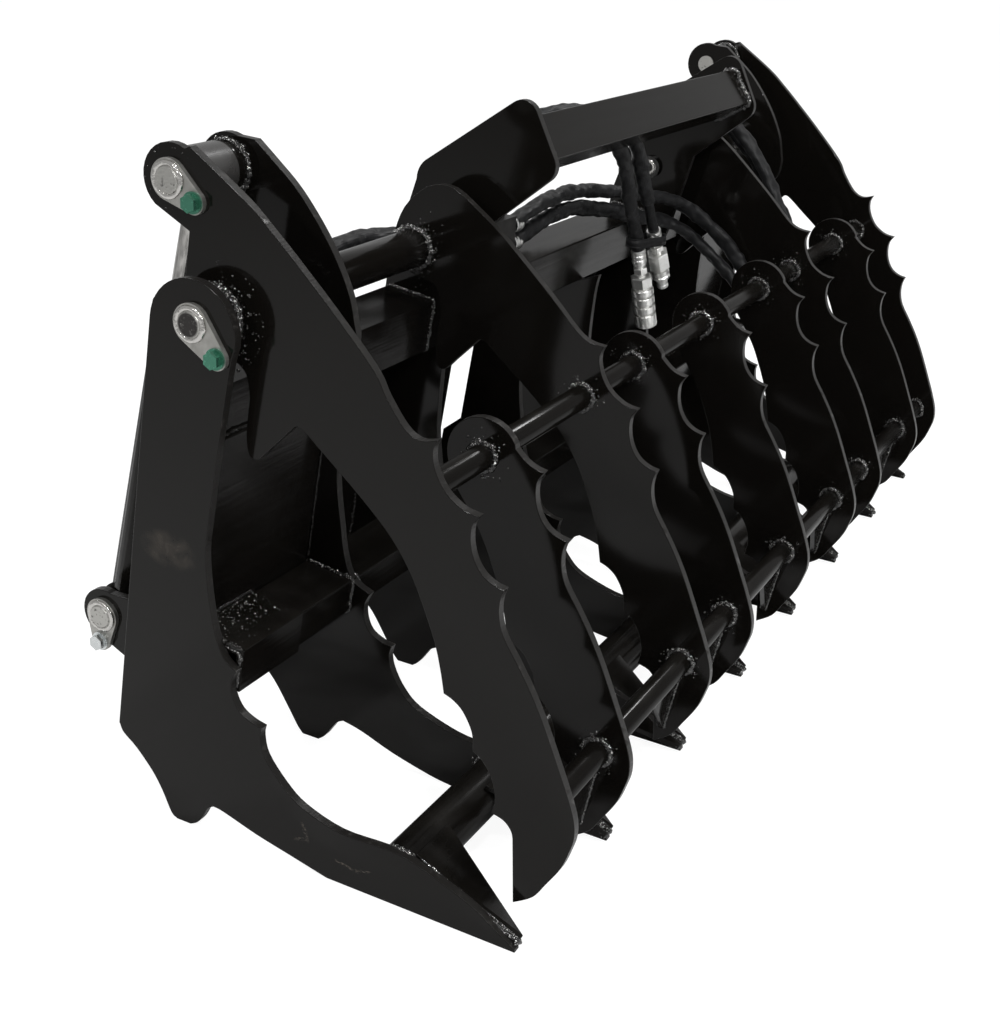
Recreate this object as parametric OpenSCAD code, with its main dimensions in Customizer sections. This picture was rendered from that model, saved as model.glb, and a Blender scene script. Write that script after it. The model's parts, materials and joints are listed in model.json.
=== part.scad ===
// Root grapple for a skid steer loader: a frame of eight bottom tines, a one-piece
// lid of nine tines, two lid cylinders and their hoses.
// Millimetres. X across, -Y towards the tine tips, +Z up, standing on heels and tips.

/* [Overall] */
// Spacing of the bottom tines, centre to centre
tine_pitch = 261; // [240:1:280]
// Depth of a side plate, from tip to rear corner
frame_depth = 593; // [560:1:630]
// Height of the pivot line above the ground
pivot_height = 679; // [650:1:700]
// Lean of the back frame from upright, in degrees
frame_lean = 7.6; // [6:0.1:9]

/* [Plates] */
// Thickness of the side plates, tines and arms
plate_t = 12; // [10:0.5:16]
// Thickness of the back panels
panel_t = 8; // [6:0.5:10]
// Thickness of the quick attach plates
attach_t = 10; // [8:0.5:12]
// Thickness of the tip plates and the lid gussets
gusset_t = 8; // [6:0.5:10]
// Thickness of the pin flags
flag_t = 6; // [4:0.5:8]

/* [Frame tubes] */
// Side of the square upper cross tube
upper_tube_w = 76; // [70:1:80]
// Height of the rectangular lower cross tube
lower_tube_h = 50; // [45:1:55]
// Depth of the rectangular lower cross tube
lower_tube_w = 76; // [70:1:80]
// Side of the square top tube between the ears
top_tube_w = 63.5; // [60:0.5:66]
// Wall of the frame tubes
tube_wall = 6; // [4:0.5:8]
// Diameter of the front pipe through the tine tips
front_pipe_d = 66; // [60:1:68]

/* [Lid] */
// Distance from a side plate's centre to the arm inside it
arm_gap = 37.5; // [36:0.5:41]
// Distance of the outer short tines from the middle
outer_short_x = 719; // [700:1:740]
// Distance of the tall tines from the middle
tall_x = 445; // [440:1:450]
// Distance of the inner short tines from the middle
inner_short_x = 272; // [260:1:290]
// Distance from an arm's centre to its clevis ear
clevis_gap = 100; // [96:1:104]
// Diameter of the pivot tubes
pivot_tube_d = 52; // [48:1:56]
// Diameter of the lid's two cross tubes
lid_tube_d = 32; // [28:1:36]
// Diameter of the bosses at the rod pins
boss_d = 60; // [56:1:64]

/* [Cylinders] */
// Diameter of all the pins
pin_d = 32; // [30:1:34]
// Outer diameter of a barrel
barrel_d = 60; // [58:1:64]
// Bore of a barrel
barrel_bore_d = 50.8; // [48:0.1:52]
// Diameter of a rod
rod_d = 31.8; // [28:0.2:34]
// Distance from the lower pin to the end of the gland
barrel_reach = 430; // [420:1:440]
// Width of the cylinder eyes
eye_w = 50; // [46:1:54]
// Outer diameter of the cylinder eyes
eye_d = 64; // [62:1:68]
// Radial room of the rod eye round its pin
eye_room = 8; // [7.5:0.1:9]

/* [Hydraulics] */
// Diameter of a hose in its sleeve
hose_d = 24; // [20:1:26]
// Diameter of the female coupler
coupler_d = 40; // [38:1:42]
// Length of the female coupler
coupler_l = 96; // [90:1:100]

/* [Hidden] */

$fn = 48;
paint = "#141312";
zinc = "#b9bab6";
steel = "#9a9b9c";
sleeve = "#1a1b1d";

tine_count = 8;
side_x = tine_pitch * (tine_count - 1) / 2;
arm_x = side_x - arm_gap;
clevis_x = arm_x - clevis_gap;
// Room left round a tube that passes through a plate, and round a turning pin
weld_room = 0.05;
run_room = 0.05;
// Depth of the whole part, used to set the origin under its middle
front_reach = 44.3;
rear_reach = 677;
mid_y = (rear_reach - front_reach) / 2;

// Places of the pins, as shares of the frame's depth and the pivot's height
pivot_shares = [0.762226, 1];
rod_pin_shares = [0.856661, 1.215022];
low_pin_shares = [1.082631, 0.359352];
pivot = place(pivot_shares);
rod_pin = place(rod_pin_shares);
low_pin = place(low_pin_shares);
cyl_x = (arm_x + clevis_x) / 2;
cyl_dir = rod_pin - low_pin;
cyl_len = norm(cyl_dir);
// Turn of a cylinder about X, from upright
cyl_turn = atan2(-cyl_dir.x, cyl_dir.y);

// Points of an open Catmull-Rom curve through p, n steps to a span, last point left out
function cr(a, b, c, d, t) = 0.5 * (2 * b + (c - a) * t + (2 * a - 5 * b + 4 * c - d) * t * t
    + (3 * b - a - 3 * c + d) * t * t * t);
function curve(p, n = 4) = [for (i = [0:len(p) - 2]) for (k = [0:n - 1])
    cr(p[max(i - 1, 0)], p[i], p[i + 1], p[min(i + 2, len(p) - 1)], k / n)];
// Points of an arc about c from angle a to angle b
function arc(c, r, a, b, n = 12) = [for (k = [0:n]) c + r * [cos(a + (b - a) * k / n),
    sin(a + (b - a) * k / n)]];
// Places in the side view, from shares of the frame's depth and the pivot's height
function place(share) = [share.x * frame_depth, share.y * pivot_height];
function at(shares) = [for (s = shares) place(s)];
// A place in the leaning back frame: y back from the rear line, z up along it
lean_foot = [1.0255 * frame_depth, 0];
function leant(y, z) = lean_foot + [y * cos(frame_lean) - z * sin(frame_lean),
    y * sin(frame_lean) + z * cos(frame_lean)];

// A plate of thickness t centred on x, cut to a side view outline
module plate(x, t, pts) {
    translate([x - t / 2, 0, 0]) rotate([90, 0, 90]) linear_extrude(t) polygon(pts);
}
// A round bar along X
module bar(x0, x1, at, d, fn = 48) {
    translate([x0, at.x, at.y]) rotate([0, 90, 0]) cylinder(h = x1 - x0, d = d, $fn = fn);
}
// Children placed in the leaning back frame
module lean() {
    translate([0, lean_foot.x, lean_foot.y]) rotate([frame_lean, 0, 0]) children();
}
// Children moved so that the part's origin is under its middle
module placed() {
    translate([0, -mid_y, 0]) children();
}
module both() {
    children();
    mirror([1, 0, 0]) children();
}

/* Outlines, from the tip round the belly and the back */

sole_start_shares = [[0.003, 0]];
side_belly_shares = [[0.45, 0], [0.543, 0.018], [0.631, 0.035], [0.718, 0.057], [0.745, 0.06]];
side_heel_shares = [[0.745, 0.06], [0.761, 0.05], [0.776, 0.026], [0.791, 0.009], [0.809, 0]];
side_rear_shares = [[0.845, 0], [0.862, 0.01], [0.885, 0.052], [0.911, 0.088], [0.953, 0.128],
    [0.988, 0.152], [0.999, 0.172]];
side_front_shares = [[0.668, 0.97], [0.679, 0.94], [0.701, 0.84], [0.723, 0.732],
    [0.742, 0.632], [0.749, 0.583], [0.744, 0.508], [0.73, 0.436], [0.708, 0.389],
    [0.676, 0.37]];
side_bite_shares = [[0.676, 0.37], [0.69, 0.348], [0.689, 0.318], [0.672, 0.291],
    [0.643, 0.277], [0.614, 0.271]];
side_throat_shares = [[0.614, 0.271], [0.618, 0.25], [0.607, 0.211], [0.563, 0.165],
    [0.513, 0.133], [0.42, 0.11], [0.31, 0.113], [0.243, 0.106], [0.115, 0.066],
    [0.052, 0.033], [0.004, 0.006]];
tine_belly_shares = [[0.4, 0], [0.459, 0.007], [0.563, 0.029], [0.65, 0.055], [0.703, 0.065]];
tine_heel_shares = [[0.703, 0.065], [0.722, 0.055], [0.74, 0.033], [0.757, 0.012],
    [0.774, 0]];
tine_rear_shares = [[0.82, 0], [0.836, 0.016], [0.862, 0.052], [0.905, 0.108],
    [0.95, 0.145], [0.999, 0.172]];
tine_front_shares = [[0.713, 0.785], [0.723, 0.732], [0.729, 0.604], [0.717, 0.508],
    [0.706, 0.445], [0.684, 0.398], [0.636, 0.377]];
tine_bite_shares = [[0.636, 0.377], [0.65, 0.352], [0.65, 0.322], [0.636, 0.294],
    [0.605, 0.279], [0.575, 0.275]];
tine_throat_shares = [[0.575, 0.275], [0.581, 0.25], [0.572, 0.219], [0.545, 0.181],
    [0.501, 0.15], [0.4, 0.122], [0.31, 0.115], [0.243, 0.106], [0.115, 0.066],
    [0.052, 0.033], [0.004, 0.006]];
ear_front_shares = [[0.627, 1.043], [0.645, 0.98], [0.668, 0.9], [0.69, 0.83],
    [0.713, 0.775]];

// Round top of a side plate, and the rear line that it runs into
side_top_share = [0.767285, 0.985272];
side_top = place(side_top_share);
side_top_r = 60;
side_outline = concat(at(sole_start_shares), curve(at(side_belly_shares)),
    curve(at(side_heel_shares)), [at(side_heel_shares)[4]], curve(at(side_rear_shares)),
    [leant(0, 0.173 * pivot_height)], arc(side_top, side_top_r, frame_lean, 178, 20),
    curve(at(side_front_shares)), curve(at(side_bite_shares)), curve(at(side_throat_shares)),
    [at(side_throat_shares)[10]]);

// Upper cross tube in the leaning frame: front, rear, bottom and top
upper_rear = -6;
upper_front = upper_rear - upper_tube_w;
upper_low = 535;
upper_high = upper_low + upper_tube_w;
// Lower cross tube in the leaning frame
panel_front = upper_front - panel_t;
lower_rear = panel_front;
lower_front = lower_rear - lower_tube_w;
lower_low = 245;
lower_high = lower_low + lower_tube_h;

tine_lower = concat(at(sole_start_shares), curve(at(tine_belly_shares)),
    curve(at(tine_heel_shares)), [at(tine_heel_shares)[4]], curve(at(tine_rear_shares)),
    [leant(0, 0.173 * pivot_height)]);
tine_inner = concat(curve(at(tine_front_shares)), curve(at(tine_bite_shares)),
    curve(at(tine_throat_shares)), [at(tine_throat_shares)[10]]);
// A plain tine ends under the upper cross tube, and its rear edge steps forward on the way
tine_step = 28;
tine_step_low = 300;
tine_step_high = 330;
tine_outline = concat(tine_lower, [leant(0, tine_step_low), leant(-tine_step, tine_step_high),
    leant(-tine_step, upper_low), leant(upper_front, upper_low)], tine_inner);
// An ear's head: the tube sits in its slanted front end
ear_top_share = [0.546374, 1.269514];
ear_nose_share = [0.495784, 1.185567];
ear_back_share = [0.755481, 1.122239];
ear_top_r = 24;
ear_nose_r = 24;
ear_back_r = 34;
ear_outline = concat(tine_lower, [leant(0, 1.04 * upper_high)],
    arc(place(ear_back_share), ear_back_r, 0, 52, 6),
    arc(place(ear_top_share), ear_top_r, 52, 147, 8),
    arc(place(ear_nose_share), ear_nose_r, 147, 228, 8), curve(at(ear_front_shares)),
    tine_inner);

front_pipe_share = [0.283305, 0.061856];
front_pipe_at = place(front_pipe_share);

// Teeth and curves of the lid's arms and tines, shared by all nine
lid_front_shares = [[0.263, 0.878], [0.2715, 0.86], [0.2695, 0.8371], [0.2577, 0.8125],
    [0.2384, 0.7905], [0.212, 0.775], [0.1912, 0.769], [0.17, 0.767]];
lid_bite_b_shares = [[0.17, 0.767], [0.1835, 0.7467], [0.1841, 0.7171], [0.1747, 0.6892],
    [0.1568, 0.6676], [0.1331, 0.6555], [0.109, 0.651]];
lid_bulge_shares = [[0.109, 0.651], [0.1165, 0.6296], [0.1159, 0.5993], [0.1037, 0.5669],
    [0.0723, 0.5259], [0.04, 0.4811], [0.009, 0.43], [-0.03, 0.355], [-0.052, 0.311],
    [-0.071, 0.265], [-0.0745, 0.23], [-0.067, 0.2], [-0.052, 0.161], [-0.024, 0.119],
    [0.003, 0.082], [0.045, 0.056]];
lid_hook_shares = [[0.056, 0.187], [0.061, 0.202], [0.078, 0.217], [0.106, 0.224]];
lid_bite_2_shares = [[0.106, 0.224], [0.1, 0.255], [0.112, 0.295], [0.134, 0.322],
    [0.155, 0.334]];
lid_bite_3_shares = [[0.155, 0.334], [0.16, 0.37], [0.182, 0.404], [0.205, 0.42],
    [0.226, 0.427]];
lid_back_shares = [[0.226, 0.427], [0.236, 0.47], [0.251, 0.518], [0.277, 0.574],
    [0.307, 0.627], [0.354, 0.686], [0.425, 0.744], [0.506, 0.801], [0.56, 0.838],
    [0.578, 0.839]];
lobe_shares = [[0.578, 0.839], [0.634, 0.789], [0.664, 0.763], [0.684, 0.766],
    [0.691, 0.79], [0.69, 0.82], [0.682, 0.87]];

lid_lower = concat(curve(at(lid_bite_b_shares)), curve(at(lid_bulge_shares)),
    [at(lid_bulge_shares)[15]], curve(at(lid_hook_shares)), curve(at(lid_bite_2_shares)),
    curve(at(lid_bite_3_shares)), curve(at(lid_back_shares)));
tall_back_shares = [[0.682, 0.87], [0.686, 0.91], [0.705, 0.935], [0.75, 0.945],
    [0.79, 0.962], [0.812, 1.0], [0.812, 1.03], [0.79, 1.078], [0.75, 1.115],
    [0.71, 1.133], [0.66, 1.132], [0.6, 1.1], [0.53, 1.055], [0.4, 0.955], [0.335, 0.9],
    [0.3, 0.882], [0.263, 0.878]];
tall_outline = concat(lid_lower, curve(at(lobe_shares)), curve(at(tall_back_shares), 3),
    curve(at(lid_front_shares)));

arm_back_shares = [[0.682, 0.87], [0.69, 0.91], [0.72, 0.93], [0.78, 0.94], [0.83, 0.98],
    [0.832, 1.04], [0.818, 1.134]];
arm_front_shares = [[0.812, 1.272], [0.69, 1.203], [0.629, 1.159], [0.567, 1.11],
    [0.487, 1.044], [0.403, 0.969], [0.374, 0.928], [0.334, 0.884], [0.3, 0.87],
    [0.263, 0.878]];
arm_eye_r = 40;
arm_outline = concat(lid_lower, curve(at(lobe_shares)), curve(at(arm_back_shares)),
    [at(arm_back_shares)[6]], arc(rod_pin, arm_eye_r, -52, 118, 14),
    curve(at(arm_front_shares)), curve(at(lid_front_shares)));

// A short tine has a round top about the upper lid tube
lid_upper_share = [0.3086, 0.768778];
lid_lower_share = [0, 0.256259];
lid_upper_at = place(lid_upper_share);
lid_lower_at = place(lid_lower_share);
short_top_r = 49;
short_back_shares = [[0.226, 0.427], [0.236, 0.47], [0.251, 0.518], [0.277, 0.574],
    [0.307, 0.627], [0.354, 0.686], [0.384, 0.72]];
short_front_shares = [[0.2356, 0.7971], [0.2126, 0.7794], [0.1912, 0.7705], [0.17, 0.767]];
short_outline = concat(curve(at(lid_bite_b_shares)), curve(at(lid_bulge_shares)),
    [at(lid_bulge_shares)[15]], curve(at(lid_hook_shares)), curve(at(lid_bite_2_shares)),
    curve(at(lid_bite_3_shares)), curve(at(short_back_shares)),
    arc(lid_upper_at, short_top_r, -12, 150, 17), curve(at(short_front_shares)));

clevis_front_shares = [[0.79, 1.268], [0.747, 1.238], [0.698, 1.202], [0.656, 1.161],
    [0.617, 1.115], [0.59, 1.075], [0.567, 1.03], [0.556, 0.988], [0.551, 0.962],
    [0.56, 0.92], [0.6, 0.89], [0.68, 0.885], [0.76, 0.91], [0.825, 0.97]];
clevis_outline = concat(arc(rod_pin, arm_eye_r, -52, 112, 14),
    curve(at(clevis_front_shares)), [[0.825 * frame_depth, 0.97 * pivot_height],
    [0.818 * frame_depth, 1.134 * pivot_height]]);

/* Frame */

module side_plate() {
    color(paint) difference() {
        plate(side_x, plate_t, side_outline);
        bar(side_x - plate_t, side_x + plate_t, pivot, pin_d + 2 * run_room);
    }
}
module tine(x, pts) {
    difference() {
        plate(x, plate_t, pts);
        bar(x - plate_t, x + plate_t, front_pipe_at, front_pipe_d + 2 * weld_room);
        lean() translate([x - plate_t, lower_front, lower_low])
            cube([2 * plate_t, lower_tube_w, lower_tube_h]);
    }
}
module plain_tine(x) {
    color(paint) tine(x, tine_outline);
}
// The upper cross tube stops against both sides of an eared tine
module eared_tine(x) {
    color(paint) difference() {
        tine(x, ear_outline);
        bar(x - plate_t, x + plate_t, pivot, pin_d + 2 * run_room);
    }
}

// A tip plate lies on the slope from the front pipe to the tip, one side of a tine
tip_half = 76;
tip_nose = 7;
tip_front_y = 4;
tip_drop = 6;
// Each ends against the upper front of the pipe
tip_seat_gap = 19;
tip_run = front_pipe_at.x - tip_seat_gap - tip_front_y;
tip_slope = 23.6;
module tip_wing(x, side) {
    run = tip_run / cos(tip_slope);
    in = plate_t / 2 * side;
    translate([x, tip_front_y, tip_drop]) rotate([tip_slope, 0, 0])
        linear_extrude(gusset_t) polygon([[in, 0], [in + side * tip_nose, 0],
            [in + side * tip_half, run], [in, run]]);
}
module tip_plates() {
    color(paint) for (i = [0:tine_count - 1]) {
        x = (i - (tine_count - 1) / 2) * tine_pitch;
        if (i > 0) tip_wing(x, -1);
        if (i < tine_count - 1) tip_wing(x, 1);
    }
}
module front_pipe() {
    inner = side_x - plate_t / 2;
    color(paint) difference() {
        bar(-inner, inner, front_pipe_at, front_pipe_d);
        bar(-inner - 1, inner + 1, front_pipe_at, front_pipe_d - 2 * tube_wall);
    }
}
module box_tube(x0, x1, y, z, w, h) {
    difference() {
        translate([x0, y, z]) cube([x1 - x0, w, h]);
        translate([x0 - 1, y + tube_wall, z + tube_wall])
            cube([x1 - x0 + 2, w - 2 * tube_wall, h - 2 * tube_wall]);
    }
}
module lower_cross_tube() {
    inner = side_x - plate_t / 2;
    color(paint) lean() box_tube(-inner, inner, lower_front, lower_low, lower_tube_w,
        lower_tube_h);
}
// Short sleeves round the ends of the lower cross tube, open where the panel is
sleeve_t = 5;
sleeve_l = 126;
module lower_tube_sleeves() {
    inner = side_x - plate_t / 2;
    color(paint) both() lean() translate([inner - sleeve_l, lower_front - sleeve_t,
        lower_low - sleeve_t]) difference() {
            cube([sleeve_l, lower_tube_w + sleeve_t, lower_tube_h + 2 * sleeve_t]);
            translate([-1, sleeve_t, sleeve_t])
                cube([sleeve_l + 2, lower_tube_w + 1, lower_tube_h]);
        }
}
module upper_cross_tube() {
    ear_x = 1.5 * tine_pitch;
    half = plate_t / 2;
    inner = side_x - half;
    color(paint) lean() for (span = [[-inner, -ear_x - half], [-ear_x + half, ear_x - half],
        [ear_x + half, inner]])
            box_tube(span[0], span[1], upper_front, upper_low, upper_tube_w, upper_tube_w);
}
top_tube_share = [0.547218, 1.209867];
top_tube_at = place(top_tube_share);
top_tube_turn = -33.2;
module top_tube() {
    inner = 1.5 * tine_pitch - plate_t / 2;
    color(paint) translate([0, top_tube_at.x, top_tube_at.y]) rotate([top_tube_turn, 0, 0])
        box_tube(-inner, inner, -top_tube_w / 2, -top_tube_w / 2, top_tube_w, top_tube_w);
}
panel_low = 150;
panel_lap = 10;
module back_panels() {
    inner = side_x - plate_t / 2;
    outer_tine = 2.5 * tine_pitch + plate_t / 2;
    color(paint) both() lean() translate([outer_tine, panel_front, panel_low])
        cube([inner - outer_tine, panel_t, upper_low + panel_lap - panel_low]);
}

// Two plates that a skid steer's quick attach takes: a lip on top, a slotted foot below
attach_x0 = 145;
attach_x1 = 571;
attach_low = 133;
attach_high = 600;
lip_l = 34;
foot_l = 62;
slot_x = 502;
slot_w = 32;
slot_l = 44;
relief_t = 1;
relief_low = 560;
module quick_attach_plates() {
    ear_x = 1.5 * tine_pitch;
    half = plate_t / 2;
    color(paint) both() lean() {
        difference() {
            translate([attach_x0, 0, attach_low])
                cube([attach_x1 - attach_x0, attach_t, attach_high - attach_low]);
            // Relief under the lip, so that the loader's plate seats on the flat below
            translate([attach_x0 - 1, attach_t - relief_t, relief_low])
                cube([attach_x1 - attach_x0 + 2, relief_t + 1, attach_high - relief_low + 1]);
        }
        // Packing strips between the plate and the upper cross tube
        for (span = [[attach_x0, ear_x - half], [ear_x + half, attach_x1]])
            translate([span[0], upper_rear, upper_low + panel_lap])
                cube([span[1] - span[0], -upper_rear, attach_high - upper_low - panel_lap]);
        // Lip, bent back and down
        translate([attach_x0, attach_t / 2, attach_high - attach_t]) rotate([-40, 0, 0])
            cube([attach_x1 - attach_x0, lip_l, attach_t]);
        // Foot, square to the plate
        difference() {
            translate([attach_x0, attach_t / 2, attach_low])
                cube([attach_x1 - attach_x0, foot_l, attach_t]);
            translate([slot_x - slot_l / 2, attach_t + (foot_l - slot_w) / 2,
                attach_low - 1]) cube([slot_l, slot_w, attach_t + 2]);
        }
    }
}

lug_r = 35;
lug_top = 292;
lug_low = 155;
lug_outline = concat([leant(upper_front, lug_top)], [leant(upper_front, lug_low)],
    arc(low_pin, lug_r, -65, 110, 16));
module cylinder_lugs() {
    color(paint) both() for (x = [arm_x, clevis_x]) difference() {
        plate(x, plate_t, lug_outline);
        bar(x - plate_t, x + plate_t, low_pin, pin_d + 2 * run_room);
    }
}

/* Pins, flags and bolts */

pin_proud = 4;
pin_chamfer = 1.5;
module flagged_pin(x0, face, at) {
    end = face + flag_t + pin_proud;
    bar(x0, end - pin_chamfer, at, pin_d);
    translate([end - pin_chamfer, at.x, at.y]) rotate([0, 90, 0])
        cylinder(h = pin_chamfer, d1 = pin_d, d2 = pin_d - 2 * pin_chamfer);
}
flag_r = 24;
flag_tip_r = 14;
bolt_d = 12;
bolt_head_d = 21;
bolt_head_h = 8;
washer_d = 25;
washer_t = 2.5;
// A tear-shaped flag that a bolt keeps from turning, seen from outside
module flag(face, at, reach, turn) {
    tip = at + reach * [cos(turn), sin(turn)];
    side = acos((flag_r - flag_tip_r) / reach);
    difference() {
        translate([face, 0, 0]) rotate([90, 0, 90]) linear_extrude(flag_t)
            polygon(concat(arc(at, flag_r, turn + side, turn + 360 - side, 20),
                arc(tip, flag_tip_r, turn - side, turn + side, 10)));
        bar(face - 1, face + flag_t + 1, at, pin_d + 2 * weld_room);
        bar(face - 1, face + flag_t + 1, tip, bolt_d + 2 * weld_room, 24);
    }
}
module flag_bolt(face, at, reach, turn, grip) {
    tip = at + reach * [cos(turn), sin(turn)];
    bar(face - grip, face + flag_t + washer_t, tip, bolt_d, 24);
    difference() {
        bar(face + flag_t, face + flag_t + washer_t, tip, washer_d, 32);
        bar(face, face + flag_t + washer_t + 1, tip, bolt_d, 24);
    }
    bar(face + flag_t + washer_t, face + flag_t + washer_t + bolt_head_h, tip,
        bolt_head_d, 6);
}
side_face = side_x + plate_t / 2;
arm_face = arm_x + plate_t / 2;
pivot_flag = [48, -136];
rod_flag = [40, -149];
low_flag = [37, -85];

inner_head_d = 40;
inner_head_t = 9;
inner_hole_d = 14;
ear_face = 1.5 * tine_pitch - plate_t / 2;
pin_depth = 70;
module pivot_pins() {
    color(zinc) both() {
        flagged_pin(side_x - plate_t / 2 - pin_depth, side_face, pivot);
        difference() {
            union() {
                bar(ear_face, ear_face + plate_t + pin_depth, pivot, pin_d);
                bar(ear_face - inner_head_t, ear_face, pivot, inner_head_d);
            }
            bar(ear_face - inner_head_t - 1, ear_face - inner_head_t / 3, pivot,
                inner_hole_d, 24);
        }
    }
}
module lower_cylinder_pins() {
    color(zinc) both() flagged_pin(clevis_x - plate_t / 2 - pin_proud, arm_face, low_pin);
}
module frame_pin_flags() {
    color(zinc) both() {
        flag(side_face, pivot, pivot_flag[0], pivot_flag[1]);
        flag(arm_face, low_pin, low_flag[0], low_flag[1]);
    }
}
module frame_flag_bolts() {
    color(zinc) both() {
        flag_bolt(side_face, pivot, pivot_flag[0], pivot_flag[1], 0);
        flag_bolt(arm_face, low_pin, low_flag[0], low_flag[1], 0);
    }
}

/* Lid */

module lid_plate(x, pts, upper_through) {
    difference() {
        plate(x, plate_t, pts);
        if (upper_through)
            bar(x - plate_t, x + plate_t, lid_upper_at, lid_tube_d + 2 * weld_room);
        if (upper_through)
            bar(x - plate_t, x + plate_t, lid_lower_at, lid_tube_d + 2 * weld_room);
    }
}
module lid_arm() {
    color(paint) difference() {
        lid_plate(arm_x, arm_outline, false);
        bar(arm_x - plate_t, arm_x + plate_t, pivot, pivot_tube_d + 2 * weld_room);
        bar(arm_x - plate_t, arm_x + plate_t, rod_pin, pin_d + 2 * run_room);
    }
}
module tall_tine(x) {
    color(paint) difference() {
        lid_plate(x, tall_outline, true);
        bar(x - plate_t, x + plate_t, pivot, pivot_tube_d + 2 * weld_room);
    }
}
module short_tine(x) {
    color(paint) lid_plate(x, short_outline, true);
}
module clevis_ear() {
    color(paint) difference() {
        plate(clevis_x, plate_t, clevis_outline);
        bar(clevis_x - plate_t, clevis_x + plate_t, pivot, pivot_tube_d + 2 * weld_room);
        bar(clevis_x - plate_t, clevis_x + plate_t, rod_pin, pin_d + 2 * run_room);
    }
}
// A pivot tube runs from clear of an ear's outer face to beyond the arm
tube_ear_gap = 2.5;
tube_proud = 29;
pivot_tube_in = ear_face + plate_t + tube_ear_gap;
pivot_tube_out = arm_x + tube_proud;
bush_d = 39;
bush_l = 46;
module pivot_tube() {
    color(paint) difference() {
        bar(pivot_tube_in, pivot_tube_out, pivot, pivot_tube_d);
        bar(pivot_tube_in - 1, pivot_tube_out + 1, pivot, bush_d + 2 * weld_room);
    }
}
module pivot_bushings() {
    color("#8a7445") both() for (x = [pivot_tube_in, pivot_tube_out - bush_l])
        difference() {
            bar(x, x + bush_l, pivot, bush_d);
            bar(x - 1, x + bush_l + 1, pivot, pin_d + 2 * run_room);
        }
}
lid_tube_wall = 4;
module lid_tube(at) {
    inner = arm_x - plate_t / 2;
    color(paint) difference() {
        bar(-inner, inner, at, lid_tube_d);
        bar(-inner - 1, inner + 1, at, lid_tube_d - 2 * lid_tube_wall);
    }
}
// A gusset hangs from the lower lid tube down to a tine's tip
gusset_w = 84;
gusset_foot_share = [0.030354, 0.091311];
gusset_drop = lid_lower_at - place(gusset_foot_share);
gusset_tilt = atan2(gusset_drop.x, gusset_drop.y);
module gusset(x, side) {
    in = plate_t / 2 * side;
    down = norm(gusset_drop);
    top = lid_tube_d / 2 - 1;
    translate([x, lid_lower_at.x, lid_lower_at.y]) rotate([-gusset_tilt - 180, 0, 0])
        translate([0, gusset_t / 2, 0]) rotate([90, 0, 0]) linear_extrude(gusset_t)
            polygon([[in, top], [in + side * gusset_w, top],
                [in + side * gusset_w, top + gusset_t], [in, down]]);
}
lid_xs = [-arm_x, -outer_short_x, -tall_x, -inner_short_x, 0, inner_short_x, tall_x,
    outer_short_x, arm_x];
module lid_gussets() {
    color(paint) difference() {
        for (i = [0:len(lid_xs) - 1]) {
            if (i > 0) gusset(lid_xs[i], -1);
            if (i < len(lid_xs) - 1) gusset(lid_xs[i], 1);
        }
        bar(-arm_x, arm_x, lid_lower_at, lid_tube_d);
    }
}
boss_gap = 2;
module rod_pin_bosses() {
    color(paint) both() for (span = [[clevis_x + plate_t / 2, cyl_x - eye_w / 2 - boss_gap],
        [cyl_x + eye_w / 2 + boss_gap, arm_x - plate_t / 2]]) difference() {
            bar(span[0], span[1], rod_pin, boss_d);
            bar(span[0] - 1, span[1] + 1, rod_pin, pin_d + 2 * run_room);
        }
}
module rod_pins() {
    color(zinc) both() flagged_pin(clevis_x - plate_t / 2 - pin_proud, arm_face, rod_pin);
}
module lid_pin_flags() {
    color(zinc) both() flag(arm_face, rod_pin, rod_flag[0], rod_flag[1]);
}
module lid_flag_bolts() {
    color(zinc) both() flag_bolt(arm_face, rod_pin, rod_flag[0], rod_flag[1], 0);
}

/* Cylinders, drawn upright from the lower pin and then leant into place */

module at_cylinder() {
    translate([cyl_x, low_pin.x, low_pin.y]) rotate([cyl_turn, 0, 0]) children();
}
base_cap = 20;
eye_neck = 24;
gland_l = 34;
gland_lip = 10;
gland_lip_d = 68;
port_d = 24;
port_h = 16;
port_low = 100;
port_high = 135;
return_tube_d = 11;
return_top = barrel_reach - gland_l - 10;
port_face = barrel_d / 2 + port_h;
// Both hoses join at the foot, and a return tube runs up the inner side to the rod end
module barrel() {
    floor_z = eye_neck + base_cap;
    tube_x = barrel_d / 2 + return_tube_d / 2 + 2;
    color(paint) difference() {
        union() {
            rotate([0, 90, 0]) cylinder(h = eye_w, d = eye_d, center = true);
            translate([0, 0, eye_neck]) cylinder(h = barrel_reach - gland_lip - eye_neck,
                d = barrel_d);
            for (z = [port_low, port_high])
                translate([0, 0, z]) rotate([0, -90, 0]) cylinder(h = port_face, d = port_d);
            translate([0, 0, return_top]) rotate([0, -90, 0])
                cylinder(h = tube_x, d = return_tube_d);
            translate([-tube_x, 0, port_high])
                cylinder(h = return_top + return_tube_d / 2 - port_high, d = return_tube_d);
        }
        rotate([0, 90, 0]) cylinder(h = eye_w + 2, d = pin_d + 2 * run_room, center = true);
        translate([0, 0, floor_z]) cylinder(h = barrel_reach, d = barrel_bore_d);
    }
}
module gland() {
    color(paint) translate([0, 0, barrel_reach - gland_l]) difference() {
        union() {
            cylinder(h = gland_l - gland_lip, d = barrel_bore_d - 2 * weld_room);
            translate([0, 0, gland_l - gland_lip]) cylinder(h = gland_lip, d = gland_lip_d);
        }
        translate([0, 0, -1]) cylinder(h = gland_l + 2, d = rod_d + 2 * run_room);
    }
}
piston_l = 30;
piston_gap = 12;
piston_top = barrel_reach - gland_l - piston_gap;
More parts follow.
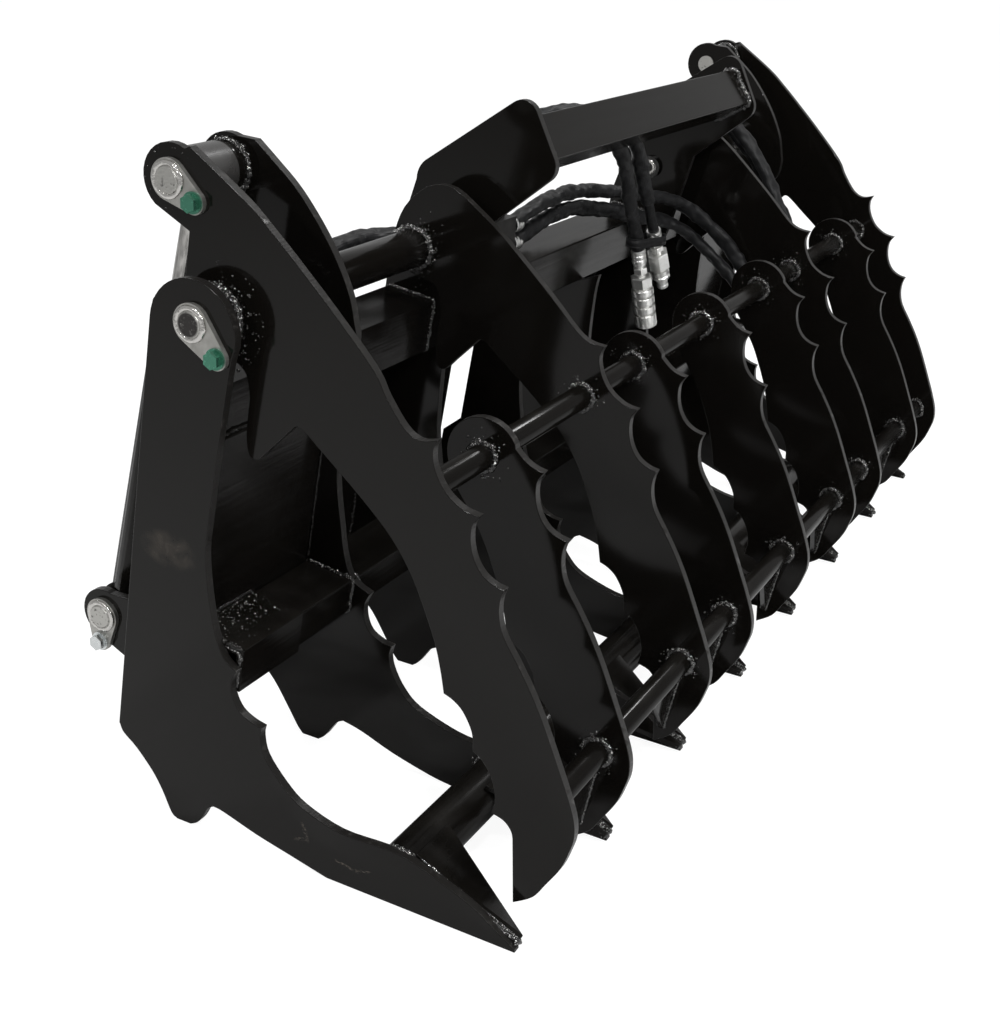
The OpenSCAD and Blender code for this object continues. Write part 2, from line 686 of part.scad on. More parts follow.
module rod() {
    color(steel) difference() {
        union() {
            translate([0, 0, piston_top - piston_l])
                cylinder(h = cyl_len - eye_d / 3 - piston_top + piston_l, d = rod_d);
            translate([0, 0, cyl_len]) rotate([0, 90, 0])
                cylinder(h = eye_w, d = eye_d, center = true);
        }
        translate([0, 0, cyl_len]) rotate([0, 90, 0])
            cylinder(h = eye_w + 2, d = pin_d + 2 * eye_room, center = true);
    }
}
module piston() {
    color(steel) translate([0, 0, piston_top - piston_l]) difference() {
        cylinder(h = piston_l, d = barrel_bore_d - 2 * run_room);
        translate([0, 0, -1]) cylinder(h = piston_l + 2, d = rod_d + 2 * weld_room);
    }
}

/* Hydraulics: hoses are swept through points chosen by hand */

hose_sides = 10;
// A smooth route through hand-chosen points, n rings to a span
function route(p, n) = concat(curve(p, n), [p[len(p) - 1]]);
function unit(v) = v / norm(v);
// Directions along a route: its two ends lie square to the fittings that they meet
function tangents(p, from, to) = [for (i = [0:len(p) - 1])
    i == 0 ? from : i == len(p) - 1 ? to : unit(p[i + 1] - p[i - 1])];
// Directions across a route, turned along it without twist
function across(t, prev) = unit(prev - (prev * t) * t);
function frames(t, i, prev) = i == len(t) ? [] :
    let (u = across(t[i], prev)) concat([u], frames(t, i + 1, u));
module hose(points, n, from, to) {
    p = route(points, n);
    t = tangents(p, unit(from), unit(to));
    u = frames(t, 0, [0, 1, 0]);
    last = len(p) - 1;
    ring = [for (i = [0:last]) for (k = [0:hose_sides - 1])
        let (a = 360 * k / hose_sides, v = cross(t[i], u[i]))
            p[i] + hose_d / 2 * (cos(a) * u[i] + sin(a) * v)];
    walls = [for (i = [0:last - 1]) for (k = [0:hose_sides - 1])
        let (a = i * hose_sides, b = (k + 1) % hose_sides)
            [a + k, a + hose_sides + k, a + hose_sides + b, a + b]];
    caps = [[for (k = [0:hose_sides - 1]) k],
        [for (k = [hose_sides - 1:-1:0]) last * hose_sides + k]];
    color(sleeve) polyhedron(ring, concat(walls, caps));
}
// Places of a barrel's two ports, s along it from the lower pin
port_x = cyl_x - port_face;
function port(s) = let (p = low_pin + s * cyl_dir / cyl_len) [port_x, p.x, p.y];
function port_left(s) = [-port(s).x, port(s).y, port(s).z];
manifold_low = [-190, 464, 600];
manifold_size = [70, 50, 72];
fitting_l = 34;
fitting_y = 490;
// Heights of the fittings on the manifold's sides, and places of the two on its top
outlet_z = [644, 614];
supply_x = [-138, -172];
manifold_top = manifold_low.z + manifold_size.z - 4;
manifold_right = manifold_low.x + manifold_size.x;
right_x = manifold_right + fitting_l;
left_x = manifold_low.x - fitting_l;
supply_z = manifold_top + fitting_l;
coupler_f_start = [218, 393, 566];
coupler_f_end = [253, 377, 420];
coupler_m_start = [236, 375, 600];
coupler_m_end = [306, 372, 479];
supply_1_route = [[supply_x[0], fitting_y, supply_z], [-135, 487, 735],
    [-122, 476, 766], [-98, 456, 788],
    [-64, 428, 799], [-30, 406, 802], [4, 392, 795], [40, 384, 779], [74, 379, 753],
    [104, 380, 713], [136, 384, 667], [172, 388.2, 626],
    [194, 390.6, 601], [208, 392.1, 583], coupler_f_start];
supply_2_route = [[supply_x[1], fitting_y, supply_z], [-170, 487, 742],
    [-158, 476, 782], [-132, 455, 810],
    [-96, 430, 824], [-56, 408, 828], [-14, 391, 824], [32, 376, 816], [74, 368, 794],
    [106, 367, 758], [140, 367, 712], [180, 371, 668], [200, 372.7, 645],
    [218, 373.9, 622], coupler_m_start];
right_upper_route = [[right_x, fitting_y, outlet_z[0]],
    [-40, 489, 656], [30, 486, 666], [136, 482, 667],
    [215, 458, 658], [285, 425, 646], [345, 398, 634], [388, 362, 610], [410, 318, 572],
    [420.5, 279.5, 532], [427.5, 246, 488], [447.5, 224, 448], [480, 213, 423],
    [520, 212, 415],
    [562, 218, 430], [596, 226, 462], [622, 240, 506], [640, 264, 558], [650, 296, 614],
    [655, 330, 664], [657, 368, 706], [658, 410, 736], [658, 456, 746], [657, 500, 732],
    [654, 534, 694], [650, 552, 636], [649, 566, 560], [649, 586, 472], [659, 600, 422],
    [687, 612, 379], [730, 618, 351], port(port_low)];
right_lower_route = [[right_x, fitting_y, outlet_z[1]],
    [-40, 489, 622], [33, 486, 637], [119, 479, 640],
    [190, 462, 631], [245, 442, 618], [296, 421, 606], [350, 396, 592], [386, 362, 568],
    [406, 323, 532], [416, 280, 490], [424, 246, 446], [440, 220, 404], [476, 204, 378],
    [526, 198, 372], [578, 202, 386], [622, 212, 418], [654, 228, 464], [674, 252, 520],
    [684, 282, 572], [688, 312, 612], [690, 344, 648], [693, 374, 682], [696, 408, 712],
    [698, 448, 729], [697, 488, 725], [694, 519, 702], [690, 541, 664], [686, 554, 616],
    [684, 564, 560], [684, 582, 484], [691, 597, 435], [712, 606, 404], [743, 610, 383],
    port(port_high)];
left_upper_route = [[left_x, fitting_y, outlet_z[0]],
    [-300, 508, 662], [-391, 550, 670], [-460, 558, 670],
    [-530, 557, 665], [-588, 556, 657], [-626, 556, 648], [-656, 557, 627], [-676, 559, 597],
    [-684, 564, 556], [-684, 584, 472], [-691, 597, 435], [-712, 606, 404], [-743, 610, 383],
    port_left(port_high)];
left_lower_route = [[left_x, fitting_y, outlet_z[1]],
    [-300, 516, 626], [-391, 554, 634], [-460, 562, 634],
    [-520, 562, 630], [-566, 562, 623], [-602, 563, 608], [-630, 564, 584], [-646, 566, 550],
    [-649, 572, 516], [-650, 588, 466], [-659, 600, 422], [-687, 612, 379], [-730, 618, 351],
    port_left(port_low)];

// Rings of a part that is turned about a line from start towards end: each is
// a distance along it, a length, a diameter and a number of sides
module strung(start, end, rings) {
    dir = end - start;
    translate(start) rotate([0, acos(dir.z / norm(dir)), atan2(dir.y, dir.x)])
        for (s = rings) translate([0, 0, s[0]]) cylinder(h = s[1], d = s[2], $fn = s[3]);
}
ferrule_l = 30;
neck_l = 20;
ferrules = [[0, ferrule_l, hose_d, 48], [ferrule_l, neck_l, 0.7 * hose_d, 48]];
sleeve_start = ferrule_l + neck_l;
module coupler_female() {
    color(zinc) difference() {
        strung(coupler_f_start, coupler_f_end, concat(ferrules, [
            [sleeve_start, 0.24 * coupler_l, 0.92 * coupler_d, 6],
            [sleeve_start + 0.24 * coupler_l, 0.46 * coupler_l, coupler_d, 48],
            [sleeve_start + 0.7 * coupler_l, 0.2 * coupler_l, 0.9 * coupler_d, 48],
            [sleeve_start + 0.9 * coupler_l, 0.1 * coupler_l, coupler_d, 48]]));
        strung(coupler_f_start, coupler_f_end,
            [[sleeve_start + 0.72 * coupler_l, coupler_l, 0.52 * coupler_d, 48]]);
    }
}
module coupler_male() {
    color(zinc) strung(coupler_m_start, coupler_m_end, concat(ferrules, [
        [sleeve_start, 0.36 * coupler_l, 0.9 * coupler_d, 6],
        [sleeve_start + 0.36 * coupler_l, 0.24 * coupler_l, 0.8 * coupler_d, 48],
        [sleeve_start + 0.6 * coupler_l, 0.24 * coupler_l, 0.51 * coupler_d, 48]]));
}
strap_w = 16;
strap_t = 2.5;
strap_z = 574;
// Where the two hoses pass through the strap, at its lower and upper edge
strap_at = [[214, 393], [202, 392], [242, 375], [251, 374]];
// A band that ties the two supply hoses together above the couplers
module coupler_strap() {
    room = 0.62 * hose_d;
    color(sleeve) translate([0, 0, strap_z]) linear_extrude(strap_w) difference() {
        hull() for (c = strap_at) translate(c) circle(room + strap_t, $fn = 32);
        hull() for (c = strap_at) translate(c) circle(room, $fn = 32);
    }
}
// A fitting from a port of the block out to a hose's end
module fitting(from, turn) {
    translate(from) rotate(turn) {
        cylinder(h = fitting_l, d = 0.8 * hose_d, $fn = 32);
        cylinder(h = 0.4 * fitting_l, d = 1.1 * hose_d, $fn = 6);
    }
}
module hose_manifold() {
    color(zinc) {
        difference() {
            translate(manifold_low) cube(manifold_size - [0, 0, 4]);
            lean() translate([manifold_low.x - 1, upper_front, upper_low])
                cube([manifold_size.x + 2, upper_tube_w + 1, upper_tube_w]);
        }
        for (z = outlet_z) {
            fitting([manifold_right, fitting_y, z], [0, 90, 0]);
            fitting([manifold_low.x, fitting_y, z], [0, -90, 0]);
        }
        for (x = supply_x) fitting([x, fitting_y, manifold_top], [0, 0, 0]);
    }
}

placed() {
    mirror([1, 0, 0]) side_plate();  // side_plate_left
    side_plate();  // side_plate_right
    plain_tine(-2.5 * tine_pitch);  // bottom_tine_2
    eared_tine(-1.5 * tine_pitch);  // bottom_tine_3_with_ear
    plain_tine(-0.5 * tine_pitch);  // bottom_tine_4
    plain_tine(0.5 * tine_pitch);  // bottom_tine_5
    eared_tine(1.5 * tine_pitch);  // bottom_tine_6_with_ear
    plain_tine(2.5 * tine_pitch);  // bottom_tine_7
    tip_plates();
    front_pipe();
    lower_cross_tube();
    lower_tube_sleeves();
    upper_cross_tube();
    top_tube();
    back_panels();
    quick_attach_plates();
    cylinder_lugs();
    pivot_pins();
    lower_cylinder_pins();
    frame_pin_flags();
    frame_flag_bolts();
    mirror([1, 0, 0]) lid_arm();  // lid_arm_left
    lid_arm();  // lid_arm_right
    short_tine(lid_xs[1]);  // lid_tine_2
    tall_tine(lid_xs[2]);  // lid_tine_3
    short_tine(lid_xs[3]);  // lid_tine_4
    short_tine(lid_xs[4]);  // lid_tine_5
    short_tine(lid_xs[5]);  // lid_tine_6
    tall_tine(lid_xs[6]);  // lid_tine_7
    short_tine(lid_xs[7]);  // lid_tine_8
    mirror([1, 0, 0]) clevis_ear();  // lid_clevis_ear_left
    clevis_ear();  // lid_clevis_ear_right
    mirror([1, 0, 0]) pivot_tube();  // lid_pivot_tube_left
    pivot_tube();  // lid_pivot_tube_right
    lid_tube(lid_upper_at);  // lid_upper_tube
    lid_tube(lid_lower_at);  // lid_lower_tube
    lid_gussets();
    rod_pin_bosses();
    rod_pins();
    lid_pin_flags();
    lid_flag_bolts();
    pivot_bushings();
    mirror([1, 0, 0]) at_cylinder() barrel();  // barrel_left
    at_cylinder() barrel();  // barrel_right
    mirror([1, 0, 0]) at_cylinder() gland();  // gland_left
    at_cylinder() gland();  // gland_right
    mirror([1, 0, 0]) at_cylinder() rod();  // rod_left
    at_cylinder() rod();  // rod_right
    mirror([1, 0, 0]) at_cylinder() piston();  // piston_left
    at_cylinder() piston();  // piston_right
    hose(supply_1_route, 2, [0, 0, 1], coupler_f_end - coupler_f_start);  // supply_hose_1
    hose(supply_2_route, 2, [0, 0, 1], coupler_m_end - coupler_m_start);  // supply_hose_2
    hose(right_upper_route, 2, [1, 0, 0], [1, 0, 0]);  // right_hose_upper
    hose(right_lower_route, 2, [1, 0, 0], [1, 0, 0]);  // right_hose_lower
    hose(left_upper_route, 2, [-1, 0, 0], [-1, 0, 0]);  // left_hose_upper
    hose(left_lower_route, 2, [-1, 0, 0], [-1, 0, 0]);  // left_hose_lower
    coupler_female();
    coupler_male();
    coupler_strap();
    hose_manifold();
}
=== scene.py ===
import json
import math

import bpy
import numpy as np
from mathutils import Matrix


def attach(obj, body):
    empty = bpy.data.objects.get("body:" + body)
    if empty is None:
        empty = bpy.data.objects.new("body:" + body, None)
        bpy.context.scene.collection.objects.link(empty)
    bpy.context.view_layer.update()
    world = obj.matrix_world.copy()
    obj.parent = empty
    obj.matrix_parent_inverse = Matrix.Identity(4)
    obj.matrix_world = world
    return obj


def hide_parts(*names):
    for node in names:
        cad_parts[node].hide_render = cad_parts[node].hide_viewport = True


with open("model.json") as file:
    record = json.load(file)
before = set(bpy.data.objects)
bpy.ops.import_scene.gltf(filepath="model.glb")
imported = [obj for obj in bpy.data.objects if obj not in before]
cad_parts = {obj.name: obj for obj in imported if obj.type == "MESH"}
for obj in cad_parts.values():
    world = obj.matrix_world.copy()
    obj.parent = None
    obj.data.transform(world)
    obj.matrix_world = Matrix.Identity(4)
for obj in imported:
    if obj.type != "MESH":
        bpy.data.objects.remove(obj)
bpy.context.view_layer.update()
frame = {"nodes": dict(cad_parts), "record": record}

bl_info = {
    "name": "Root grapple",
    "version": (1, 0, 0),
    "blender": (4, 5, 0),
    "location": "View3D > Sidebar > Grapple",
    "description": "Hoses, couplers, weld beads and finishes of a root grapple",
    "category": "Object",
}

# Sizes of the steelwork in millimetres: across, back from the tine tips, and up
MIDDLE_Y = 316.35
SIDE_X = 913.5
HALF_PLATE = 6.0
TINE_X = [261.0 * (i - 3.5) for i in range(8)]
EAR_X = 391.5
ARM_X = 876.0
CLEVIS_X = 776.0
TALL_X = 445.0
LID_X = [-876.0, -719.0, -445.0, -272.0, 0.0, 272.0, 445.0, 719.0, 876.0]
CYLINDER_X = 826.0
PIVOT = (452.0, 679.0)
ROD_PIN = (508.0, 825.0)
LOW_PIN = (642.0, 244.0)
FRONT_PIPE = (168.0, 42.0)
LID_UPPER = (183.0, 522.0)
LID_LOWER = (0.0, 174.0)
GUSSET_FOOT = (18.0, 62.0)
LEAN = math.radians(7.6)
LEAN_FOOT = 608.12
SIDE_FACE = SIDE_X + HALF_PLATE
ARM_FACE = ARM_X + HALF_PLATE
FLAG_T = 6.0
INNER_RING_X = 376.5
COUPLER_F = ((218, 393, 566), (253, 377, 420))
COUPLER_M = ((236, 375, 600), (306, 372, 479))
STRAP_AT = [(214, 393), (202, 392), (242, 375), (251, 374)]
# The barrels' ports, 100 and 135 mm from the lower pin: back and up, and how far in from the
# barrel's middle line a hose's crimped end meets them
PORTS = ((619.5, 341.4), (611.7, 375.5))
PORT_FACE = 46.0
# The manifold's side and top ports
MANIFOLD_Y = 490
MANIFOLD_SIDES = ((-86, 1), (-224, -1))
MANIFOLD_LEVELS = (644, 614)
MANIFOLD_TOP = 702
MANIFOLD_TOP_X = (-138, -172)
FERRULE = 24
# Box tubes in the leaning back frame: front, rear, low and high
UPPER_TUBE = (-83.0, -5.0, 534.0, 612.0)
LOWER_TUBE = (-167.0, -89.0, 244.0, 296.0)
# Ends of the welds along the panels' upper edge and along the lower tube's sleeves, across
PANEL_SEAM = (660, 906)
SLEEVE_SEAM = (782, 906)
# Heights of the welds at the panels' upright edges, below and above the sleeves
PANEL_LEVELS = ((152, 240), (300, 543))
# How far back seams lie in the leaning frame: on the panels' front face, along the lugs on
# the panels' rear face, and along the ears on the quick-attach plates' front face
PANEL_BACK = -91
LUG_BACK = -81.2
EAR_BACK = -0.5
# The top tube's middle, back and up, with its turn and half of its side
TOP_TUBE = (324.5, 821.5)
TOP_TUBE_TURN = math.radians(-33.2)
TOP_TUBE_HALF = 63.5 / 2
TIP_SLOPE = math.radians(23.6)
# Radii of the weld rings: round the front pipe, the lid's tubes, its pivots and the rod pins
PIPE_RING = 33.6
LID_RING = 17.2
PIVOT_RING = 27.2
OUTER_PIVOT_RING = 33.5
ROD_RING = 30.4

# Routes of the hoses' centrelines, in metres in the part's frame
ROUTES = {
    "supply_hose_1": [
        (-0.138, 0.17365, 0.702), (-0.135, 0.17065, 0.735), (-0.122, 0.15965, 0.766),
        (-0.098, 0.13965, 0.788), (-0.064, 0.11165, 0.799), (-0.03, 0.08965, 0.802),
        (0.004, 0.07565, 0.795), (0.04, 0.06765, 0.779), (0.074, 0.06265, 0.753),
        (0.104, 0.06365, 0.713), (0.136, 0.06765, 0.667), (0.172, 0.07185, 0.626),
        (0.194, 0.07425, 0.601), (0.208, 0.07575, 0.583), (0.218, 0.07665, 0.566)],
    "supply_hose_2": [
        (-0.172, 0.17365, 0.702), (-0.17, 0.17065, 0.742), (-0.158, 0.15965, 0.782),
        (-0.132, 0.13865, 0.81), (-0.096, 0.11365, 0.824), (-0.056, 0.09165, 0.828),
        (-0.014, 0.07465, 0.824), (0.032, 0.05965, 0.816), (0.074, 0.05165, 0.794),
        (0.106, 0.05065, 0.758), (0.14, 0.05065, 0.712), (0.18, 0.05465, 0.668),
        (0.2, 0.05635, 0.645), (0.218, 0.05755, 0.622), (0.236, 0.05865, 0.6)],
    "right_hose_upper": [
        (-0.086, 0.17365, 0.644), (-0.04, 0.17265, 0.656), (0.03, 0.16965, 0.666),
        (0.136, 0.16565, 0.667), (0.215, 0.14165, 0.658), (0.285, 0.10865, 0.646),
        (0.345, 0.08165, 0.634), (0.388, 0.04565, 0.61), (0.41, 0.00165, 0.572),
        (0.4205, -0.03685, 0.532), (0.4275, -0.07035, 0.488), (0.4475, -0.09235, 0.448),
        (0.48, -0.10335, 0.423), (0.52, -0.10435, 0.415), (0.562, -0.09835, 0.43),
        (0.596, -0.09035, 0.462), (0.622, -0.07635, 0.506), (0.64, -0.05235, 0.558),
        (0.65, -0.02035, 0.614), (0.655, 0.01365, 0.664), (0.657, 0.05165, 0.706),
        (0.658, 0.09365, 0.736), (0.658, 0.13965, 0.746), (0.657, 0.18365, 0.732),
        (0.654, 0.21765, 0.694), (0.65, 0.23565, 0.636), (0.649, 0.24965, 0.56),
        (0.649, 0.26965, 0.472), (0.659, 0.28365, 0.422), (0.687, 0.29565, 0.379),
        (0.73, 0.30165, 0.351), (0.78, 0.30316, 0.34144)],
    "right_hose_lower": [
        (-0.086, 0.17365, 0.614), (-0.04, 0.17265, 0.622), (0.033, 0.16965, 0.637),
        (0.119, 0.16265, 0.64), (0.19, 0.14565, 0.631), (0.245, 0.12565, 0.618),
        (0.296, 0.10465, 0.606), (0.35, 0.07965, 0.592), (0.386, 0.04565, 0.568),
        (0.406, 0.00665, 0.532), (0.416, -0.03635, 0.49), (0.424, -0.07035, 0.446),
        (0.44, -0.09635, 0.404), (0.476, -0.11235, 0.378), (0.526, -0.11835, 0.372),
        (0.578, -0.11435, 0.386), (0.622, -0.10435, 0.418), (0.654, -0.08835, 0.464),
        (0.674, -0.06435, 0.52), (0.684, -0.03435, 0.572), (0.688, -0.00435, 0.612),
        (0.69, 0.02765, 0.648), (0.693, 0.05765, 0.682), (0.696, 0.09165, 0.712),
        (0.698, 0.13165, 0.729), (0.697, 0.17165, 0.725), (0.694, 0.20265, 0.702),
        (0.69, 0.22465, 0.664), (0.686, 0.23765, 0.616), (0.684, 0.24765, 0.56),
        (0.684, 0.26565, 0.484), (0.691, 0.28065, 0.435), (0.712, 0.28965, 0.404),
        (0.743, 0.29365, 0.383), (0.78, 0.29528, 0.37555)],
    "left_hose_upper": [
        (-0.224, 0.17365, 0.644), (-0.3, 0.19165, 0.662), (-0.391, 0.23365, 0.67),
        (-0.46, 0.24165, 0.67), (-0.53, 0.24065, 0.665), (-0.588, 0.23965, 0.657),
        (-0.626, 0.23965, 0.648), (-0.656, 0.24065, 0.627), (-0.676, 0.24265, 0.597),
        (-0.684, 0.24765, 0.556), (-0.684, 0.26765, 0.472), (-0.691, 0.28065, 0.435),
        (-0.712, 0.28965, 0.404), (-0.743, 0.29365, 0.383), (-0.78, 0.29528, 0.37555)],
    "left_hose_lower": [
        (-0.224, 0.17365, 0.614), (-0.3, 0.19965, 0.626), (-0.391, 0.23765, 0.634),
        (-0.46, 0.24565, 0.634), (-0.52, 0.24565, 0.63), (-0.566, 0.24565, 0.623),
        (-0.602, 0.24665, 0.608), (-0.63, 0.24765, 0.584), (-0.646, 0.24965, 0.55),
        (-0.649, 0.25565, 0.516), (-0.65, 0.27165, 0.466), (-0.659, 0.28365, 0.422),
        (-0.687, 0.29565, 0.379), (-0.73, 0.30165, 0.351), (-0.78, 0.30316, 0.34144)],
}


class GrappleSizes(bpy.types.PropertyGroup):
    """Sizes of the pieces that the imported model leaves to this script."""
    hose_diameter: bpy.props.FloatProperty(
        name="Hose diameter", description="Width of a hose in its woven sleeve",
        default=0.024, min=0.012, max=0.04, unit="LENGTH")
    hose_crease: bpy.props.FloatProperty(
        name="Sleeve crease", description="Depth of the folds in the hose sleeves",
        default=0.0014, min=0.0, max=0.003, unit="LENGTH")
    bead: bpy.props.FloatProperty(
        name="Weld bead", description="Radius of a weld bead on the frame",
        default=0.0052, min=0.002, max=0.01, unit="LENGTH")
    bead_step: bpy.props.FloatProperty(
        name="Bead ripple", description="Distance between the ripples of a weld bead",
        default=0.0066, min=0.002, max=0.01, unit="LENGTH")
    edge_round: bpy.props.FloatProperty(
        name="Edge rounding", description="Rounding of the plates' cut edges",
        default=0.0009, min=0.0, max=0.003, unit="LENGTH")


class GrappleFinishes(bpy.types.PropertyGroup):
    """Colours of the grapple's finishes."""
    paint: bpy.props.FloatVectorProperty(
        name="Paint", description="Colour of the gloss black paint",
        default=(0.0042, 0.0037, 0.0031), size=3, subtype="COLOR")
    # The cut-edge colour is lighter than the paint, partly for the thinner paint on the cut and
    # partly as a painted highlight on the edges.
    cut_edge_and_highlight: bpy.props.FloatVectorProperty(
        name="Cut edge", description="Colour of the paint on the cut edges of the plates",
        default=(0.011, 0.0103, 0.0096), size=3, subtype="COLOR")
    sleeve: bpy.props.FloatVectorProperty(
        name="Hose sleeve", description="Colour of the woven nylon sleeves",
        default=(0.0058, 0.0059, 0.0064), size=3, subtype="COLOR")
    zinc: bpy.props.FloatVectorProperty(
        name="Zinc plate", description="Colour of the plated pin flags",
        default=(0.27, 0.266, 0.25), size=3, subtype="COLOR")
    green_bolt: bpy.props.FloatVectorProperty(
        name="Green bolts", description="Colour of the coated upper bolts",
        default=(0.046, 0.165, 0.11), size=3, subtype="COLOR")


# Shader nodes

class Value:
    """One number in a shader. Arithmetic on it adds the Math nodes that work it out."""

    def __init__(self, net, socket):
        self.net = net
        self.socket = socket

    def __add__(self, other):
        return self.net.math("ADD", self, other)

    def __sub__(self, other):
        return self.net.math("SUBTRACT", self, other)

    def __rsub__(self, other):
        return self.net.math("SUBTRACT", other, self)

    def __mul__(self, other):
        return self.net.math("MULTIPLY", self, other)

    def __truediv__(self, other):
        return self.net.math("DIVIDE", self, other)

    def __rtruediv__(self, other):
        return self.net.math("DIVIDE", other, self)

    def __pow__(self, other):
        return self.net.math("POWER", self, other)

    def __abs__(self):
        return self.net.math("ABSOLUTE", self)

    __radd__ = __add__
    __rmul__ = __mul__

    def rise(self, low, high):
        """0 below low and 1 above high, with a smooth step between them."""
        return self.net.value("ShaderNodeMapRange", {"interpolation_type": "SMOOTHSTEP"},
                              {"Value": self, "From Min": low, "From Max": high})


class Net:
    """A material's nodes."""

    def __init__(self, name):
        self.material = bpy.data.materials.new(name)
        self.material.use_nodes = True
        self.tree = self.material.node_tree
        self.tree.nodes.clear()

    def node(self, kind, settings=None, sockets=None):
        """A node of that kind: its settings first, then the values or links of its sockets."""
        made = self.tree.nodes.new(kind)
        for name, setting in (settings or {}).items():
            setattr(made, name, setting)
        for name, given in (sockets or {}).items():
            socket = made.inputs[name]
            if isinstance(given, Value):
                self.tree.links.new(given.socket, socket)
            elif isinstance(given, bpy.types.NodeSocket):
                self.tree.links.new(given, socket)
            else:
                socket.default_value = given
        return made

    def value(self, kind, settings=None, sockets=None, output=0):
        """A node of that kind, as the number that comes out of it."""
        return Value(self, self.node(kind, settings, sockets).outputs[output])

    def math(self, operation, *given):
        """One step of arithmetic on the given numbers."""
        return self.value("ShaderNodeMath", {"operation": operation}, dict(enumerate(given)))

    def place(self, scale=(1, 1, 1), kind="Object"):
        """Coordinates of the surface, stretched along each axis."""
        coordinates = self.node("ShaderNodeTexCoord").outputs[kind]
        if scale == (1, 1, 1):
            return coordinates
        return self.node("ShaderNodeMapping", {"vector_type": "POINT"},
                         {"Vector": coordinates, "Scale": scale}).outputs[0]

    def noise(self, scale, detail=2.0, stretch=(1, 1, 1), kind="Object", rough=0.5):
        """Smooth noise from 0 to 1: a larger scale makes it finer, and detail adds octaves."""
        return self.value("ShaderNodeTexNoise", None,
                          {"Vector": self.place(stretch, kind), "Scale": scale,
                           "Detail": detail, "Roughness": rough})

    def axes(self, kind="Object"):
        """The three coordinates of the surface as numbers."""
        split = self.node("ShaderNodeSeparateXYZ", None,
                          {0: self.node("ShaderNodeTexCoord").outputs[kind]})
        return [Value(self, split.outputs[i]) for i in range(3)]

    def mix(self, factor, first, second):
        """A colour between two others."""
        first, second = [tuple(c) + (1.0,) if not isinstance(c, bpy.types.NodeSocket) else c
                         for c in (first, second)]
        return self.node("ShaderNodeMix", {"data_type": "RGBA"},
                         {"Factor": factor, 6: first, 7: second}).outputs[2]

    def bump(self, height, distance, strength=1.0, under=None):
        """A normal tilted by a height in metres, over another bump if one is given."""
        sockets = {"Height": height, "Distance": distance, "Strength": strength}
        if under is not None:
            sockets["Normal"] = under
        return self.node("ShaderNodeBump", None, sockets).outputs[0]

    def surface(self, **sockets):
        """The finished surface, from the Principled shader's sockets by name."""
        named = {name.replace("_", " "): given for name, given in sockets.items()}
        for name, given in named.items():
            if name.endswith("Color") and isinstance(given, (tuple, list)) and len(given) == 3:
                named[name] = tuple(given) + (1.0,)
        shader = self.node("ShaderNodeBsdfPrincipled", None, named)
        self.node("ShaderNodeOutputMaterial", None, {"Surface": shader.outputs[0]})
        return self.material


FINISHES = {}


def finish(name):
    """The finish of that name, made the first time that it is asked for."""
    if name not in FINISHES:
        FINISHES[name] = MAKERS[name](Net(name.replace(" ", "_")))
    return FINISHES[name]


def colours():
    """The colours that the panel shows."""
    return bpy.context.scene.grapple_finishes


def dust_on(net, colour, rough, amount):
    """Dust where a surface faces up: it greys the colour and dulls the gloss."""
    up = net.axes("Normal")[2].rise(0.55, 0.98)
    patches = net.noise(7.0, 5.0, rough=0.6).rise(0.42, 0.72)
    specks = net.noise(420.0, 2.0).rise(0.5, 0.75)
    film = up * (patches * 0.7 + specks * 0.3) * amount
    return net.mix(film, colour, (0.045, 0.042, 0.038)), rough + film * 0.3


# Scratches on the near side plate: place, half length, half width and tilt
SCUFFS = [
    (-0.017, 0.057, 0.017, 0.0035, 1.2), (-0.012, 0.044, 0.014, 0.003, -0.3),
    (-0.077, 0.03, 0.022, 0.0025, 0.2), (-0.1, 0.031, 0.018, 0.002, -0.25),
]


def plate_paint(net):
    """Gloss black on plates: mirror-like faces, and rougher flame-cut edges with drag lines,
    coloured lighter partly for their thinner paint and partly as a painted highlight.
    """
    cut = 1.0 - abs(net.axes("Normal")[0]).rise(0.3, 0.8)
    drag = net.noise(1.0, 3.0, (18, 620, 620))
    wave = net.noise(11.0, 3.0)
    peel = net.noise(620.0, 2.0)
    worn = net.noise(95.0, 5.0, rough=0.65).rise(0.56, 0.7) * cut
    rough = 0.055 + wave * 0.06 + cut * 0.22 + worn * 0.15
    # Cut edges take a lighter colour: partly thinner paint on the flame-cut edge, partly a painted
    # highlight where the edges catch the light.
    colour = net.mix(cut, tuple(colours().paint), tuple(colours().cut_edge_and_highlight))
    colour = net.mix(worn * 0.5, colour, (0.05, 0.047, 0.044))
    x, y, z = net.axes()
    near = (0.0 - x).rise(0.9185, 0.9192)
    marks = None
    for centre_y, centre_z, long, wide, tilt in SCUFFS:
        along = (y - centre_y) * math.cos(tilt) + (z - centre_z) * math.sin(tilt)
        across = (z - centre_z) * math.cos(tilt) - (y - centre_y) * math.sin(tilt)
        spot = 1.0 - ((along / long) ** 2.0 + (across / wide) ** 2.0).rise(0.3, 1.0)
        marks = spot if marks is None else net.math("MAXIMUM", marks, spot)
    scratch = net.noise(1.0, 4.0, (40, 160, 900), rough=0.7).rise(0.5, 0.62)
    marks = marks * near * scratch
    smudge = 1.0 - (((y - 0.181) / 0.05) ** 2.0 + ((z - 0.389) / 0.028) ** 2.0).rise(0.1, 1.0)
    smudge = smudge * near * net.noise(26.0, 5.0, rough=0.6).rise(0.35, 0.7)
    colour = net.mix(marks * 0.7, colour, (0.14, 0.12, 0.1))
    colour = net.mix(smudge * 0.35, colour, (0.09, 0.075, 0.06))
    colour, rough = dust_on(net, colour, rough + marks * 0.3 + smudge * 0.3, 0.15)
    normal = net.bump(wave * 0.4 + peel * 0.05, 0.0006, 0.35)
    normal = net.bump(drag * cut, 0.0005, 0.8, normal)
    return net.surface(Base_Color=colour, Roughness=rough, Specular_IOR_Level=0.16,
                       Normal=normal)


